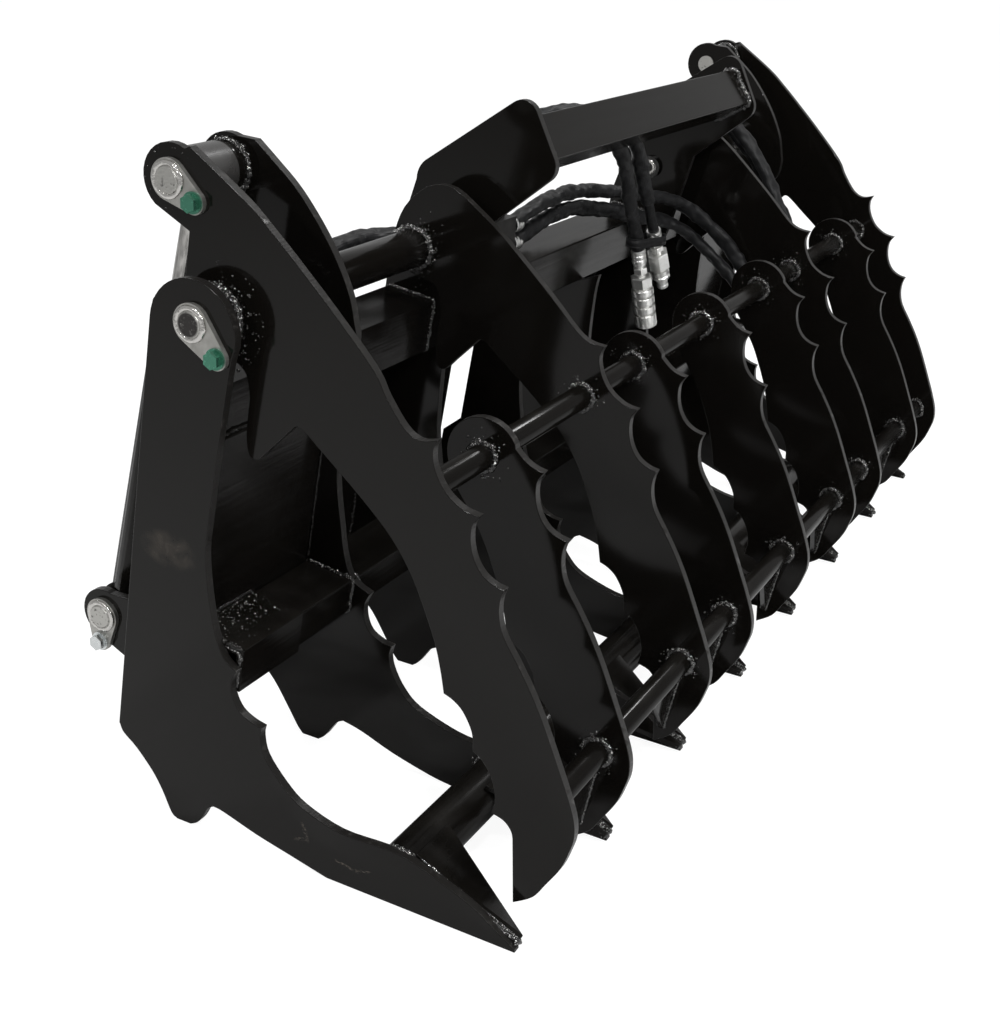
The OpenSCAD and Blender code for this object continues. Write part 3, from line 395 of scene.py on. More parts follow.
def tube_paint(net):
    """Gloss black on tubes and small parts, with rolled streaks along the tube."""
    streak = net.noise(1.0, 4.0, (5, 130, 130), rough=0.6)
    wave = net.noise(14.0, 3.0)
    colour = net.mix(streak.rise(0.45, 0.75) * 0.5, tuple(colours().paint),
                     (0.007, 0.0067, 0.0064))
    rough = 0.09 + streak * 0.13 + wave * 0.04
    colour, rough = dust_on(net, colour, rough, 0.2)
    normal = net.bump(streak, 0.0004, 0.5, net.bump(wave, 0.0008, 0.25))
    return net.surface(Base_Color=colour, Roughness=rough, Specular_IOR_Level=0.1,
                       Normal=normal)


def bead_paint_with_painted_glints(net):
    """Gloss black pooled over weld metal: very shiny and finely lumpy, with painted glints: pale
    metallic flecks in the colour where it faces up, in place of highlights."""
    lump = net.noise(260.0, 3.0, rough=0.6)
    grain = net.noise(560.0, 2.0)
    # Painted highlight: pale metallic flecks in the colour on the upward-facing bead stand in for
    # the lamps' glints.
    up = net.axes("Normal")[2].rise(-0.35, 0.45)
    painted_glint = net.noise(430.0, 3.0, rough=0.6).rise(0.585, 0.63) * up
    colour = net.mix(lump.rise(0.5, 0.8) * 0.6, tuple(colours().paint), (0.02, 0.019, 0.018))
    colour = net.mix(painted_glint * 0.85, colour, (0.8, 0.79, 0.77))
    return net.surface(Base_Color=colour, Roughness=0.05 + lump * 0.06, Metallic=painted_glint * 0.6,
                       Specular_IOR_Level=0.8,
                       Normal=net.bump(grain, 0.0009, 0.9, net.bump(lump, 0.0024, 0.9)))


def seam_paint(net):
    """Gloss black over the long seams, lumpy and dark."""
    lump = net.noise(300.0, 3.0, rough=0.6)
    return net.surface(Base_Color=tuple(colours().paint), Roughness=0.08 + lump * 0.1,
                       Specular_IOR_Level=0.3, Normal=net.bump(lump, 0.0016, 0.8))


def zinc_plate(net):
    """Dull zinc: a pale grey metal with cloudy patches and fine scratches."""
    cloud = net.noise(60.0, 5.0, rough=0.6)
    brush = net.noise(1.0, 3.0, (300, 60, 900))
    grime = net.noise(22.0, 5.0, rough=0.65).rise(0.55, 0.75)
    colour = net.mix(cloud.rise(0.3, 0.75), tuple(colours().zinc), (0.38, 0.375, 0.355))
    colour = net.mix(grime * 0.3, colour, (0.16, 0.14, 0.12))
    return net.surface(Base_Color=colour, Metallic=0.9, Roughness=0.32 + cloud * 0.2 + grime * 0.15,
                       Normal=net.bump(brush * 0.5 + cloud, 0.0002, 0.4))


def oily_zinc(net):
    """Old zinc on the manifold, dark with oil and dust."""
    cloud = net.noise(60.0, 5.0, rough=0.6)
    colour = net.mix(cloud.rise(0.3, 0.75), (0.012, 0.0115, 0.011), (0.035, 0.033, 0.031))
    return net.surface(Base_Color=colour, Metallic=0.6, Roughness=0.34 + cloud * 0.2,
                       Normal=net.bump(cloud, 0.0002, 0.4))


def bright_ring(net):
    """Bright fused metal round a pin, with dark flecks."""
    fleck = net.noise(320.0, 4.0, rough=0.7).rise(0.6, 0.7)
    swirl = net.noise(150.0, 3.0)
    colour = net.mix(fleck * 0.8, (0.47, 0.46, 0.44), (0.06, 0.05, 0.045))
    return net.surface(Base_Color=colour, Metallic=1.0, Roughness=0.16 + fleck * 0.4,
                       Normal=net.bump(swirl, 0.002, 0.8))


def reach_of(net, pin):
    """Distance of the surface from the middle line of a pin, in metres."""
    _, y, z = net.axes()
    return net.math("SQRT", (y - (pin[0] - MIDDLE_Y) / 1000) ** 2.0
                    + (z - pin[1] / 1000) ** 2.0)


def pin_steel(net):
    """Pin ends: pale at the rods, dark and pitted round a hole at the lid's pivots, black with
    a bright face on the inner heads."""
    x, _, z = net.axes()
    scorch = net.noise(170.0, 5.0, rough=0.7)
    pivot = 1.0 - reach_of(net, PIVOT).rise(0.0125, 0.0155)
    hole = 1.0 - reach_of(net, PIVOT).rise(0.0032, 0.0045)
    low = (PIVOT[1] / 1000 + 0.14 - z).rise(-0.012, 0.004)
    spots = scorch.rise(0.57, 0.64) * (0.25 + low * 0.65)
    dark = net.math("MAXIMUM", spots, pivot * scorch.rise(0.26, 0.46))
    dark = net.math("MAXIMUM", dark, hole)
    colour = net.mix(dark, (0.36, 0.355, 0.335), (0.014, 0.012, 0.011))
    painted = (1.0 - abs(x).rise(0.3955, 0.3958)) * abs(x).rise(0.37, 0.371)
    colour = net.mix(painted, colour, tuple(colours().paint))
    return net.surface(Base_Color=colour, Metallic=1.0 - painted - dark * 0.6,
                       Roughness=0.3 + dark * 0.25 - painted * 0.15,
                       Normal=net.bump(scorch, 0.0015, 0.5))


def coated_bolt(net, colour, metal):
    """A thin coat of one colour, paler where it is worn."""
    worn = net.noise(240.0, 5.0, rough=0.7).rise(0.54, 0.74)
    base = net.mix(worn * 0.4, colour, tuple(min(1.0, c * 1.8 + 0.04) for c in colour))
    return net.surface(Base_Color=base, Metallic=metal, Roughness=0.2 + worn * 0.2,
                       Normal=net.bump(net.noise(180.0, 3.0), 0.0003, 0.5))


def green_bolts(net):
    """Green coated bolts."""
    return coated_bolt(net, tuple(colours().green_bolt), 0.7)


def frame_bolts(net):
    """The pivot bolts are green, and the lower cylinder pins' bolts plain zinc."""
    high = net.axes()[2].rise(0.4, 0.41)
    worn = net.noise(240.0, 5.0, rough=0.7).rise(0.5, 0.72)
    green = net.mix(worn * 0.4, tuple(colours().green_bolt), (0.14, 0.4, 0.28))
    plain = net.mix(worn, (0.5, 0.52, 0.52), (0.7, 0.72, 0.72))
    return net.surface(Base_Color=net.mix(high, plain, green), Metallic=0.95 - high * 0.25,
                       Roughness=0.2 + worn * 0.2,
                       Normal=net.bump(net.noise(180.0, 3.0), 0.0003, 0.5))


def bronze(net):
    """Plain bearing bronze."""
    cloud = net.noise(90.0, 4.0)
    return net.surface(Base_Color=net.mix(cloud, (0.42, 0.27, 0.11), (0.55, 0.4, 0.2)),
                       Metallic=1.0, Roughness=0.3 + cloud * 0.2,
                       Normal=net.bump(cloud, 0.0002, 0.3))


def chrome_rod(net):
    """Ground chrome along the rod, dull steel at its eye."""
    eye = 1.0 - reach_of(net, ROD_PIN).rise(0.036, 0.039)
    ground = net.noise(1.0, 3.0, (900, 40, 40))
    film = net.noise(35.0, 5.0, rough=0.6).rise(0.5, 0.75)
    colour = net.mix(ground.rise(0.35, 0.65), (0.2, 0.196, 0.188), (0.42, 0.41, 0.395))
    colour = net.mix(eye, colour, (0.03, 0.029, 0.028))
    return net.surface(Base_Color=colour, Metallic=1.0 - eye,
                       Roughness=0.17 + film * 0.12 + eye * 0.1,
                       Normal=net.bump(ground, 0.0001, 0.25))


def bare_steel(net):
    """Turned steel."""
    ring = net.noise(1.0, 2.0, (60, 60, 1400))
    return net.surface(Base_Color=net.mix(ring, (0.38, 0.38, 0.39), (0.55, 0.55, 0.56)),
                       Metallic=1.0, Roughness=0.3 + ring * 0.15,
                       Normal=net.bump(ring, 0.0001, 0.4))


def woven_sleeve(net):
    """Black nylon weave: crossing yarns a little over a millimetre wide, creased and dusty."""
    u, v, _ = net.axes("UV")
    turn = 2.0 * math.pi * 11.0
    warp = net.math("SINE", (u + v) * turn)
    weft = net.math("SINE", (u - v) * turn)
    yarn = net.math("SINE", u * (turn * 2.0)) * 0.25 + warp * weft
    crease = net.noise(26.0, 5.0, rough=0.6)
    fuzz = net.noise(900.0, 2.0)
    dust = crease.rise(0.5, 0.75) * fuzz.rise(0.35, 0.65)
    colour = net.mix(dust * 0.35, tuple(colours().sleeve), (0.022, 0.022, 0.023))
    normal = net.bump(crease, 0.005, 0.6, net.bump(yarn, 0.0003, 0.45))
    return net.surface(Base_Color=colour, Roughness=0.36 + crease * 0.16,
                       Specular_IOR_Level=0.22, Sheen_Weight=0.03, Sheen_Roughness=0.4,
                       Normal=normal)


def coupler_plate(net):
    """Bright nickel on the couplers, turned across their length."""
    brush = net.noise(1.0, 2.0, (90, 90, 1500))
    colour = net.mix(brush.rise(0.4, 0.8) * 0.35, (0.8, 0.8, 0.78), (0.5, 0.49, 0.47))
    return net.surface(Base_Color=colour, Metallic=0.9, Roughness=0.25 + brush * 0.08,
                       Normal=net.bump(brush, 0.0001, 0.25))


MAKERS = {
    "plate paint": plate_paint, "tube paint": tube_paint, "bead paint with painted glints": bead_paint_with_painted_glints,
    "seam paint": seam_paint, "zinc plate": zinc_plate, "oily zinc": oily_zinc,
    "bright ring": bright_ring, "pin steel": pin_steel, "green bolts": green_bolts,
    "frame bolts": frame_bolts, "bronze": bronze, "chrome rod": chrome_rod,
    "bare steel": bare_steel, "woven sleeve": woven_sleeve, "coupler plate": coupler_plate,
}


# Shapes

def grid_faces(rows, columns, loop_rows=False):
    """Faces of a grid of rows, each of which closes on itself; the rows close too if asked."""
    r = np.arange(rows if loop_rows else rows - 1)
    c = np.arange(columns)
    a = (r[:, None] * columns + c).ravel()
    b = (r[:, None] * columns + (c + 1) % columns).ravel()
    up = (((r + 1) % rows)[:, None] * columns + c).ravel()
    across = (((r + 1) % rows)[:, None] * columns + (c + 1) % columns).ravel()
    return np.stack([a, b, across, up], 1)


def new_piece(name, parts, look, body, crisp=35.0):
    """One mesh from several closed grids, each (points by row and column, rows close, uv)."""
    points, faces, caps, layers = [], [], [], []
    start = 0
    for grid, loop_rows, uv in parts:
        rows, columns = grid.shape[:2]
        points.append(grid.reshape(-1, 3))
        quads = grid_faces(rows, columns, loop_rows) + start
        faces.append(quads)
        if uv is not None:
            layers.append(uv)
        if not loop_rows:
            caps.append(np.arange(columns)[::-1] + start)
            caps.append(np.arange(columns) + start + (rows - 1) * columns)
        start += rows * columns
    quads = np.concatenate(faces)
    polygons = quads.tolist() + [cap.tolist() for cap in caps]
    mesh = bpy.data.meshes.new(name)
    mesh.from_pydata(np.concatenate(points).astype(float), [], polygons)
    if layers:
        layer = mesh.uv_layers.new(name="around_and_along")
        flat = np.concatenate([uv.reshape(-1, 2) for uv in layers])
        loops = np.zeros(len(mesh.loops), np.int32)
        mesh.loops.foreach_get("vertex_index", loops)
        values = flat[loops]
        columns = parts[0][0].shape[1]
        seam = values[:, 0].reshape(-1)[: len(quads) * 4].reshape(-1, 4)
        wraps = (seam.max(1) - seam.min(1)) > 0.5
        seam[wraps] = np.where(seam[wraps] < 0.5, seam[wraps] + 1.0, seam[wraps])
        values[: len(quads) * 4, 0] = seam.ravel()
        layer.data.foreach_set("uv", values.astype(np.float32).ravel())
    mesh.shade_smooth()
    mesh.set_sharp_from_angle(angle=math.radians(crisp))
    mesh.materials.append(finish(look))
    piece = bpy.data.objects.new(name, mesh)
    bpy.context.scene.collection.objects.link(piece)
    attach(piece, body)
    return piece


def unit(v):
    """Vectors over their own lengths."""
    return v / np.maximum(np.linalg.norm(v, axis=-1, keepdims=True), 1e-12)


def metres(points):
    """Points in millimetres across, back from the tips and up, as metres in the part's frame."""
    return (np.asarray(points, float) - (0.0, MIDDLE_Y, 0.0)) / 1000.0


def travelled(points):
    """How far each point of a line lies along it, from its first one."""
    steps = np.linalg.norm(np.diff(points, axis=0), axis=1)
    return np.concatenate([[0.0], np.cumsum(steps)])


def smooth_route(points, step):
    """An even line of points on the Catmull-Rom curve through the given ones: between two of
    them it is half the cubic that leaves and arrives along the neighbours' chords."""
    p = np.asarray(points, float)
    q = np.concatenate([p[:1], p, p[-1:]])
    t = np.linspace(0.0, 1.0, 13)[:-1][None, :, None]
    a, b, c, d = [q[i:len(p) - 1 + i][:, None] for i in range(4)]
    line = 0.5 * (2 * b + (c - a) * t + (2 * a - 5 * b + 4 * c - d) * t ** 2
                  + (3 * b - a - 3 * c + d) * t ** 3)
    line = np.concatenate([line.reshape(-1, 3), p[-1:]])
    gone = travelled(line)
    count = max(2, int(round(gone[-1] / step)) + 1)
    even = np.linspace(0.0, gone[-1], count)
    return np.stack([np.interp(even, gone, line[:, k]) for k in range(3)], 1), even


def carried(line, first, last):
    """Tangents of a line and two directions across it, carried along without twist: each
    keeps what is left of the one before it when its part along the new tangent is gone."""
    tangent = unit(np.gradient(line, axis=0))
    tangent[0], tangent[-1] = unit(np.asarray(first, float)), unit(np.asarray(last, float))
    across = np.zeros_like(line)
    before = np.array([0.0, 1.0, 0.0])
    for i, t in enumerate(tangent):
        before = unit(before - (before @ t) * t)
        across[i] = before
    return tangent, across, np.cross(tangent, across)


def sleeve_folds(along, around, seed):
    """Folds of a loose sleeve: a sum of slow slanting waves and a few sharp creases, as a
    share of their depth, from about -1 to 1."""
    rng = np.random.default_rng(seed)
    total = np.zeros((len(along), len(around)))
    for length, turns, size in ((0.16, 1, 0.5), (0.09, 2, 0.5), (0.055, -2, 0.4),
                                (0.034, 3, 0.3), (0.024, -3, 0.22), (0.019, 1, 0.16)):
        phase = rng.uniform(0, 2 * np.pi, 2)
        drift = 0.9 * np.sin(along / 0.11 + phase[1])
        total += size * np.sin(2 * np.pi * along[:, None] / length + turns * around[None]
                               + phase[0] + drift[:, None])
    for _ in range(int(along[-1] / 0.05)):
        centre, angle = rng.uniform(0, along[-1]), rng.uniform(0, 2 * np.pi)
        slant, depth = rng.uniform(-0.02, 0.02), rng.uniform(0.5, 1.3)
        turn = np.angle(np.exp(1j * (around - angle)))
        off = (along[:, None] - centre - slant * turn[None]) / 0.0045
        total -= depth * np.exp(-off ** 2) * np.exp(-(turn[None] / 1.1) ** 2)
    return total


def sleeved_hose(name, first, last, seed, flat=0.13, bare=0.0):
    """A hose in a loose sleeve: a circle carried along its route, whose radius is half the
    diameter plus the folds and a flattening that turns slowly along it. Where it comes bare
    out of its sleeve at the end, the radius steps down to the hose's own, past a small cuff."""
    sizes = bpy.context.scene.grapple_sizes
    half = sizes.hose_diameter / 2
    line, along = smooth_route(ROUTES[name], 0.0026)
    tangent, across, up = carried(line, first, last)
    around = np.linspace(0, 2 * np.pi, 33)[:-1]
    folds = sleeve_folds(along, around, seed)
    squash = flat * np.cos(2 * (around[None] - 0.8 * np.sin(along / 0.13)[:, None] - seed))
    ends = np.minimum(1.0, np.minimum(along, along[-1] - bare - along) / 0.025).clip(0, 1)
    ends = ends[:, None]
    radius = half * (0.98 + squash * ends) + sizes.hose_crease * folds * ends
    if bare:
        past = (along - (along[-1] - bare))[:, None]
        cuff = half * (1.0 + 0.05 * np.sin(around[None] * 3 + 1))
        radius = np.where(np.abs(past + 0.003) < 0.004, cuff, radius)
        radius = np.where(past > 0.001, half * 0.73, radius)
        radius = np.where(past > bare - 0.012, half * 0.8, radius)
    ring = (np.cos(around)[None, :, None] * across[:, None]
            + np.sin(around)[None, :, None] * up[:, None])
    grid = line[:, None] + radius[..., None] * ring
    uv = np.stack(np.broadcast_arrays(around[None] / (2 * np.pi),
                                      (along / (2 * np.pi * half))[:, None]), -1)
    piece = new_piece(name + "_sleeve", [(grid, False, uv)], "woven sleeve", "frame",
                      crisp=80.0)
    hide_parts(name)
    return piece


def turned(start, end, profile, columns=72):
    """A part turned about the line from start to end, in millimetres. Each profile row is
    (distance along, radius, kind): kind 0 is round, and 6 a hexagon whose flats lie at that
    radius."""
    start, end = metres(start), metres(end)
    way = unit(end - start)
    side = unit(np.cross(way, (0.0, 1.0, 0.0)))
    other = np.cross(way, side)
    around = np.linspace(0, 2 * np.pi, columns + 1)[:-1]
    rows = np.asarray(profile, float)
    kind = rows[:, 2:3]
    radius = np.repeat(rows[:, 1:2], columns, 1)
    sector = (around[None] + np.pi / 6) % (np.pi / 3) - np.pi / 6
    radius = np.where(kind == 6, radius / np.cos(sector), radius)
    ring = np.cos(around)[:, None] * side + np.sin(around)[:, None] * other
    return start + rows[:, None, :1] / 1000.0 * way + radius[..., None] / 1000.0 * ring


def circle_path(x, centre, radius, out):
    """A weld's circle about a line along X, and the way its bead bulges: away from the line
    and from the plate, in equal parts."""
    count = max(24, int(2 * np.pi * radius / 1.3))
    a = np.linspace(0, 2 * np.pi, count + 1)[:-1]
    ring = np.stack([np.zeros(count), np.cos(a), np.sin(a)], 1)
    path = np.array([x, centre[0], centre[1]]) + radius * ring
    bulge = unit(ring + np.array([out, 0.0, 0.0]))
    return path, bulge


def line_path(points, bulge, step=1.6):
    """A weld's straight or bent line with even steps, and one way that its bead bulges."""
    p = np.asarray(points, float)
    gone = travelled(p)
    even = np.linspace(0, gone[-1], max(6, int(gone[-1] / step)))
    path = np.stack([np.interp(even, gone, p[:, k]) for k in range(3)], 1)
    return path, np.repeat(unit(np.asarray(bulge, float))[None], len(path), 0)


def box_path(x, corners, out, round_by=4.0, step=1.6):
    """A weld round a box tube: the closed line through its corners, each cut by a short
    slope, with the bulge away from the tube's middle and from the plate."""
    c = np.asarray(corners, float)
    before, after = np.roll(c, 1, 0), np.roll(c, -1, 0)
    cut = np.stack([c + unit(before - c) * round_by, c + unit(after - c) * round_by], 1)
    cut = cut.reshape(-1, 2)
    closed = np.concatenate([cut, cut[:1]])
    gone = travelled(closed)
    even = np.linspace(0, gone[-1], int(gone[-1] / step) + 1)[:-1]
    flat = np.stack([np.interp(even, gone, closed[:, k]) for k in range(2)], 1)
    path = np.concatenate([np.full((len(flat), 1), x), flat], 1)
    away = unit(flat - c.mean(0))
    bulge = unit(np.concatenate([np.full((len(flat), 1), float(out)), away], 1))
    return path, bulge


def bead(path, bulge, closed, size, seed):
    """A weld bead, in millimetres: a ring carried along its path. Its radius is the bead's
    times one plus a ripple, whose crests are crescents a step apart, plus round lumps at
    random places along and about it; on an open path it shrinks to nothing at both ends."""
    rng = np.random.default_rng(seed)
    pitch = bpy.context.scene.grapple_sizes.bead_step * 1000.0
    if closed:
        ahead = np.roll(path, -1, 0) - np.roll(path, 1, 0)
        steps = np.linalg.norm(np.roll(path, -1, 0) - path, axis=1)
        along = np.concatenate([[0.0], np.cumsum(steps)[:-1]])
        whole = along[-1] + steps[-1]
        pitch = whole / max(4, round(whole / pitch))
    else:
        ahead = np.gradient(path, axis=0)
        along = travelled(path)
        whole = along[-1]
    tangent = unit(ahead)
    up = unit(bulge - (bulge * tangent).sum(1, keepdims=True) * tangent)
    side = np.cross(tangent, up)
    a = np.linspace(0, 2 * np.pi, 15)[:-1]
    phase = rng.uniform(0, 2 * np.pi)
    jitter = 0.9 * np.sin(2 * np.pi * 3 * along / whole + phase)
    ripple = np.cos(2 * np.pi * along[:, None] / pitch + jitter[:, None]
                    - 1.9 * np.cos(a)[None])
    lumps = np.zeros_like(ripple)
    for _ in range(int(whole / 4.2)):
        place, angle = rng.uniform(0, whole), rng.normal(0, 1.1)
        width, tall = rng.uniform(1.6, 3.6), rng.uniform(0.12, 0.5)
        off = along - place
        if closed:
            off = (off + whole / 2) % whole - whole / 2
        turn = np.angle(np.exp(1j * (a - angle)))
        lumps += tall * np.exp(-(off[:, None] / width) ** 2 - (turn[None] / 0.75) ** 2)
    radius = size * (0.8 + 0.1 * ripple + lumps.clip(0, 0.75))
    if not closed:
        near_end = np.minimum(along, whole - along) / (1.5 * size)
        radius = radius * np.sqrt(np.clip(near_end, 0.004, 1.0))[:, None]
    ring = np.cos(a)[None, :, None] * up[:, None] + np.sin(a)[None, :, None] * side[:, None]
    return metres(path[:, None] + radius[..., None] * ring), closed, None


def ring_weld(x, centre, radius, out, size):
    """What bead() needs for a weld round a tube on a plate's face."""
    return (*circle_path(x, centre, radius, out), True, size)


def box_weld(x, corners, out, size):
    """What bead() needs for a weld round a box tube on a plate's face."""
    return (*box_path(x, corners, out), True, size)


def seam_weld(start, end, way, size):
    """What bead() needs for a straight weld that bulges one way."""
    return (*line_path([start, end], way), False, size)


def lean_point(back, height):
    """A place in the leaning back frame, as back and up in millimetres."""
    return (LEAN_FOOT + back * math.cos(LEAN) - height * math.sin(LEAN),
            back * math.sin(LEAN) + height * math.cos(LEAN))


def lean_box(front, rear, low, high):
    """The corners of a box tube that lies in the leaning back frame."""
    return [lean_point(front, low), lean_point(rear, low), lean_point(rear, high),
            lean_point(front, high)]


def both_sides(x):
    """A plate's two faces, each with the way that it looks along X."""
    return [(x + HALF_PLATE, 1.0), (x - HALF_PLATE, -1.0)]


def blob_points(centres, ways, sizes, rng):
    """Spatter: each blob is a dome of two rings of six points and a top, turned to stand on
    its surface. Returns grids of rings."""
    a = np.linspace(0, 2 * np.pi, 7)[:-1]
    reach = np.array([1.0, 0.8, 0.05])
    height = np.array([-0.25, 0.55, 0.9])
    helper = np.where(np.abs(ways[:, :1]) > 0.9, (0.0, 1.0, 0.0), (1.0, 0.0, 0.0))
    side = unit(np.cross(ways, helper))
    other = np.cross(ways, side)
    wobble = rng.uniform(0.75, 1.25, (len(centres), 3, 6))
    flat = reach[None, :, None] * wobble
    ring = (np.cos(a)[None, :, None] * side[:, None] + np.sin(a)[None, :, None] * other[:, None])
    grids = (centres[:, None, None] + sizes[:, None, None, None]
             * (flat[..., None] * ring[:, None] + height[None, :, None, None]
                * ways[:, None, None]))
    return [(metres(grid), False, None) for grid in grids]


# Operators, one for each group of pieces

class GRAPPLE_OT_camera(bpy.types.Operator):
    """Make the camera at the photograph's place."""
    bl_idname = "grapple.camera"
    bl_label = "Camera"

    def execute(self, context):
        data = bpy.data.cameras.new("grapple_camera")
        data.sensor_fit = "HORIZONTAL"
        data.sensor_width = 36.0
        data.lens = 53.588
        data.shift_x = -0.01112
        data.shift_y = 0.0175
        data.clip_end = 100.0
        camera = bpy.data.objects.new("grapple_camera", data)
        right = (0.4657705, -0.8828518, 0.0602535)
        up = (0.3361406, 0.2395036, 0.9108499)
        back = (-0.8185764, -0.4039934, 0.4083160)
        turn = Matrix((right, up, back)).transposed().to_4x4()
        camera.matrix_world = Matrix.Translation((-2.1873, -0.89994, 1.16037)) @ turn
        context.scene.collection.objects.link(camera)
        context.scene.camera = camera
        return {"FINISHED"}


class GRAPPLE_OT_couplers(bpy.types.Operator):
    """Make the two quick couplers and the strap that holds their hoses together."""
    bl_idname = "grapple.couplers"
    bl_label = "Couplers"

    def execute(self, context):
        crimp = [(0, 9, 0), (0, 12.2, 0), (2, 12.9, 0), (6, 12.9, 0), (7.5, 12.1, 0),
                 (9, 12.1, 0), (10.5, 12.9, 0), (14.5, 12.9, 0), (16, 12.1, 0),
                 (17.5, 12.1, 0), (19, 12.9, 0), (24, 12.9, 0), (25.5, 12.0, 0), (29, 11.6, 0),
                 (30, 10.6, 0), (30, 8.6, 0), (34, 8.2, 0), (34, 10.2, 6), (35.2, 11.2, 6),
                 (44, 11.2, 6), (45.2, 10.2, 6), (45.2, 8.4, 0), (50, 8.4, 0)]
        female = crimp + [
            (50, 15.0, 6), (51.5, 17.4, 6), (69, 17.4, 6), (71, 15.6, 6), (71, 15.0, 0),
            (74, 15.0, 0), (74, 19.2, 0), (75, 19.8, 0), (84, 19.8, 0), (85, 19.0, 0),
            (85.6, 15.4, 0), (88.4, 15.4, 0), (89, 19.2, 0), (90, 19.8, 0), (101, 19.8, 0),
            (102, 19.0, 0), (102.6, 15.6, 0), (106, 15.6, 0), (106.6, 19.2, 0),
            (107.5, 19.7, 0), (117, 19.7, 0), (118, 19.0, 0), (118.6, 15.4, 0), (122.6, 15.4, 0),
            (123.2, 19.0, 0), (124.2, 19.6, 0), (142, 19.9, 0), (145, 19.2, 0), (146, 17.6, 0),
            (146, 12.2, 0), (143.5, 10.6, 0), (121, 10.4, 0), (120, 9.4, 0), (119.4, 2.0, 0)]
        male = crimp + [
            (50, 14.8, 6), (51.5, 17.2, 6), (82, 17.2, 6), (84.4, 15.0, 6), (84.6, 13.4, 0),
            (87, 13.4, 0), (88, 15.6, 0), (96, 15.9, 0), (97.5, 14.2, 0), (100, 13.6, 0),
            (102, 15.8, 0), (106.5, 15.8, 0), (107.6, 12.4, 0), (108, 10.2, 0), (118, 10.2, 0),
            (119.5, 8.9, 0), (122.5, 8.9, 0), (124, 10.2, 0), (129, 10.2, 0), (130.6, 8.6, 0),
            (130.6, 4.8, 0), (128, 4.0, 0), (127.6, 1.0, 0)]
        for name, ends, profile in (("coupler_female", COUPLER_F, female),
                                    ("coupler_male", COUPLER_M, male)):
            piece = new_piece(name + "_turned", [(turned(*ends, profile, 120), False, None)],
                              "coupler plate", "frame", crisp=22.0)
            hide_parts(name)
        # The strap's outline is the hull of four circles: in each direction, the furthest
        # circle's centre plus the band's radius that way.
        centres = np.asarray(STRAP_AT, float)
        a = np.linspace(0, 2 * np.pi, 121)[:-1]
        way = np.stack([np.cos(a), np.sin(a)], 1)
        furthest = centres[(way @ centres.T).argmax(1)]
        section = [(14.9, 574.4), (14.9, 589.6), (15.4, 590), (17.0, 590), (17.4, 589.6),
                   (17.4, 587.5), (17.05, 587.2), (17.4, 586.9), (17.4, 577.1), (17.05, 576.8),
                   (17.4, 576.5), (17.4, 574.4), (17.0, 574), (15.4, 574)]
        band = np.stack([np.concatenate([furthest + r * way, np.full((120, 1), z)], 1)
                         for r, z in section])
        piece = new_piece("coupler_strap_band", [(metres(band), True, None)], "woven sleeve",
                          "frame", crisp=50.0)
        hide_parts("coupler_strap")
        return {"FINISHED"}


class GRAPPLE_OT_hoses(bpy.types.Operator):
    """Make the six sleeved hoses along their routes, and the crimped ends they meet."""
    bl_idname = "grapple.hoses"
    bl_label = "Hoses"

    def execute(self, context):
        f_way = np.subtract(COUPLER_F[1], COUPLER_F[0])
        m_way = np.subtract(COUPLER_M[1], COUPLER_M[0])
        sleeved_hose("supply_hose_1", (0, 0, 1), f_way, 1,
                     0.07)
        sleeved_hose("supply_hose_2", (0, 0, 1), m_way, 2,
                     0.07, 0.075)
        for seed, (name, side) in enumerate((("right_hose_upper", 1), ("right_hose_lower", 1),
                                             ("left_hose_upper", -1), ("left_hose_lower", -1))):
            sleeved_hose(name, (side, 0, 0), (side, 0, 0), seed + 3)
        crimp = [(0, 8, 0), (0, 12.3, 0), (1.5, 12.9, 0), (5, 12.9, 0), (6.5, 12.2, 0),
                 (8, 12.2, 0), (9.5, 12.9, 0), (13, 12.9, 0), (14.5, 12.2, 0), (16, 12.2, 0),
                 (17.5, 12.9, 0), (22, 12.9, 0), (23.5, 12.3, 0), (24, 8, 0)]
        parts = []
        for side in (1, -1):
            for y, z in PORTS:
                face = side * (CYLINDER_X - PORT_FACE)
                parts.append((turned((face - side * FERRULE, y, z), (face, y, z), crimp, 40),
                              False, None))
        for z in MANIFOLD_LEVELS:
            for x, out in MANIFOLD_SIDES:
                parts.append((turned((x, MANIFOLD_Y, z), (x + out * FERRULE, MANIFOLD_Y, z),
                                     crimp, 40), False, None))
        for x in MANIFOLD_TOP_X:
            parts.append((turned((x, MANIFOLD_Y, MANIFOLD_TOP),
                                 (x, MANIFOLD_Y, MANIFOLD_TOP + FERRULE), crimp, 40),
                          False, None))
        new_piece("hose_ferrules", parts, "coupler plate", "frame", crisp=28.0)
        return {"FINISHED"}


def make_welds(groups, look_of, body):
    """One piece for each group of welds, each bead with a seed of its own."""
    for name, (found, seed) in groups.items():
        parts = [bead(*weld, seed * 1000 + k) for k, weld in enumerate(found)]
        new_piece(name, parts, look_of.get(name, "bead paint with painted glints"), body, crisp=75.0)


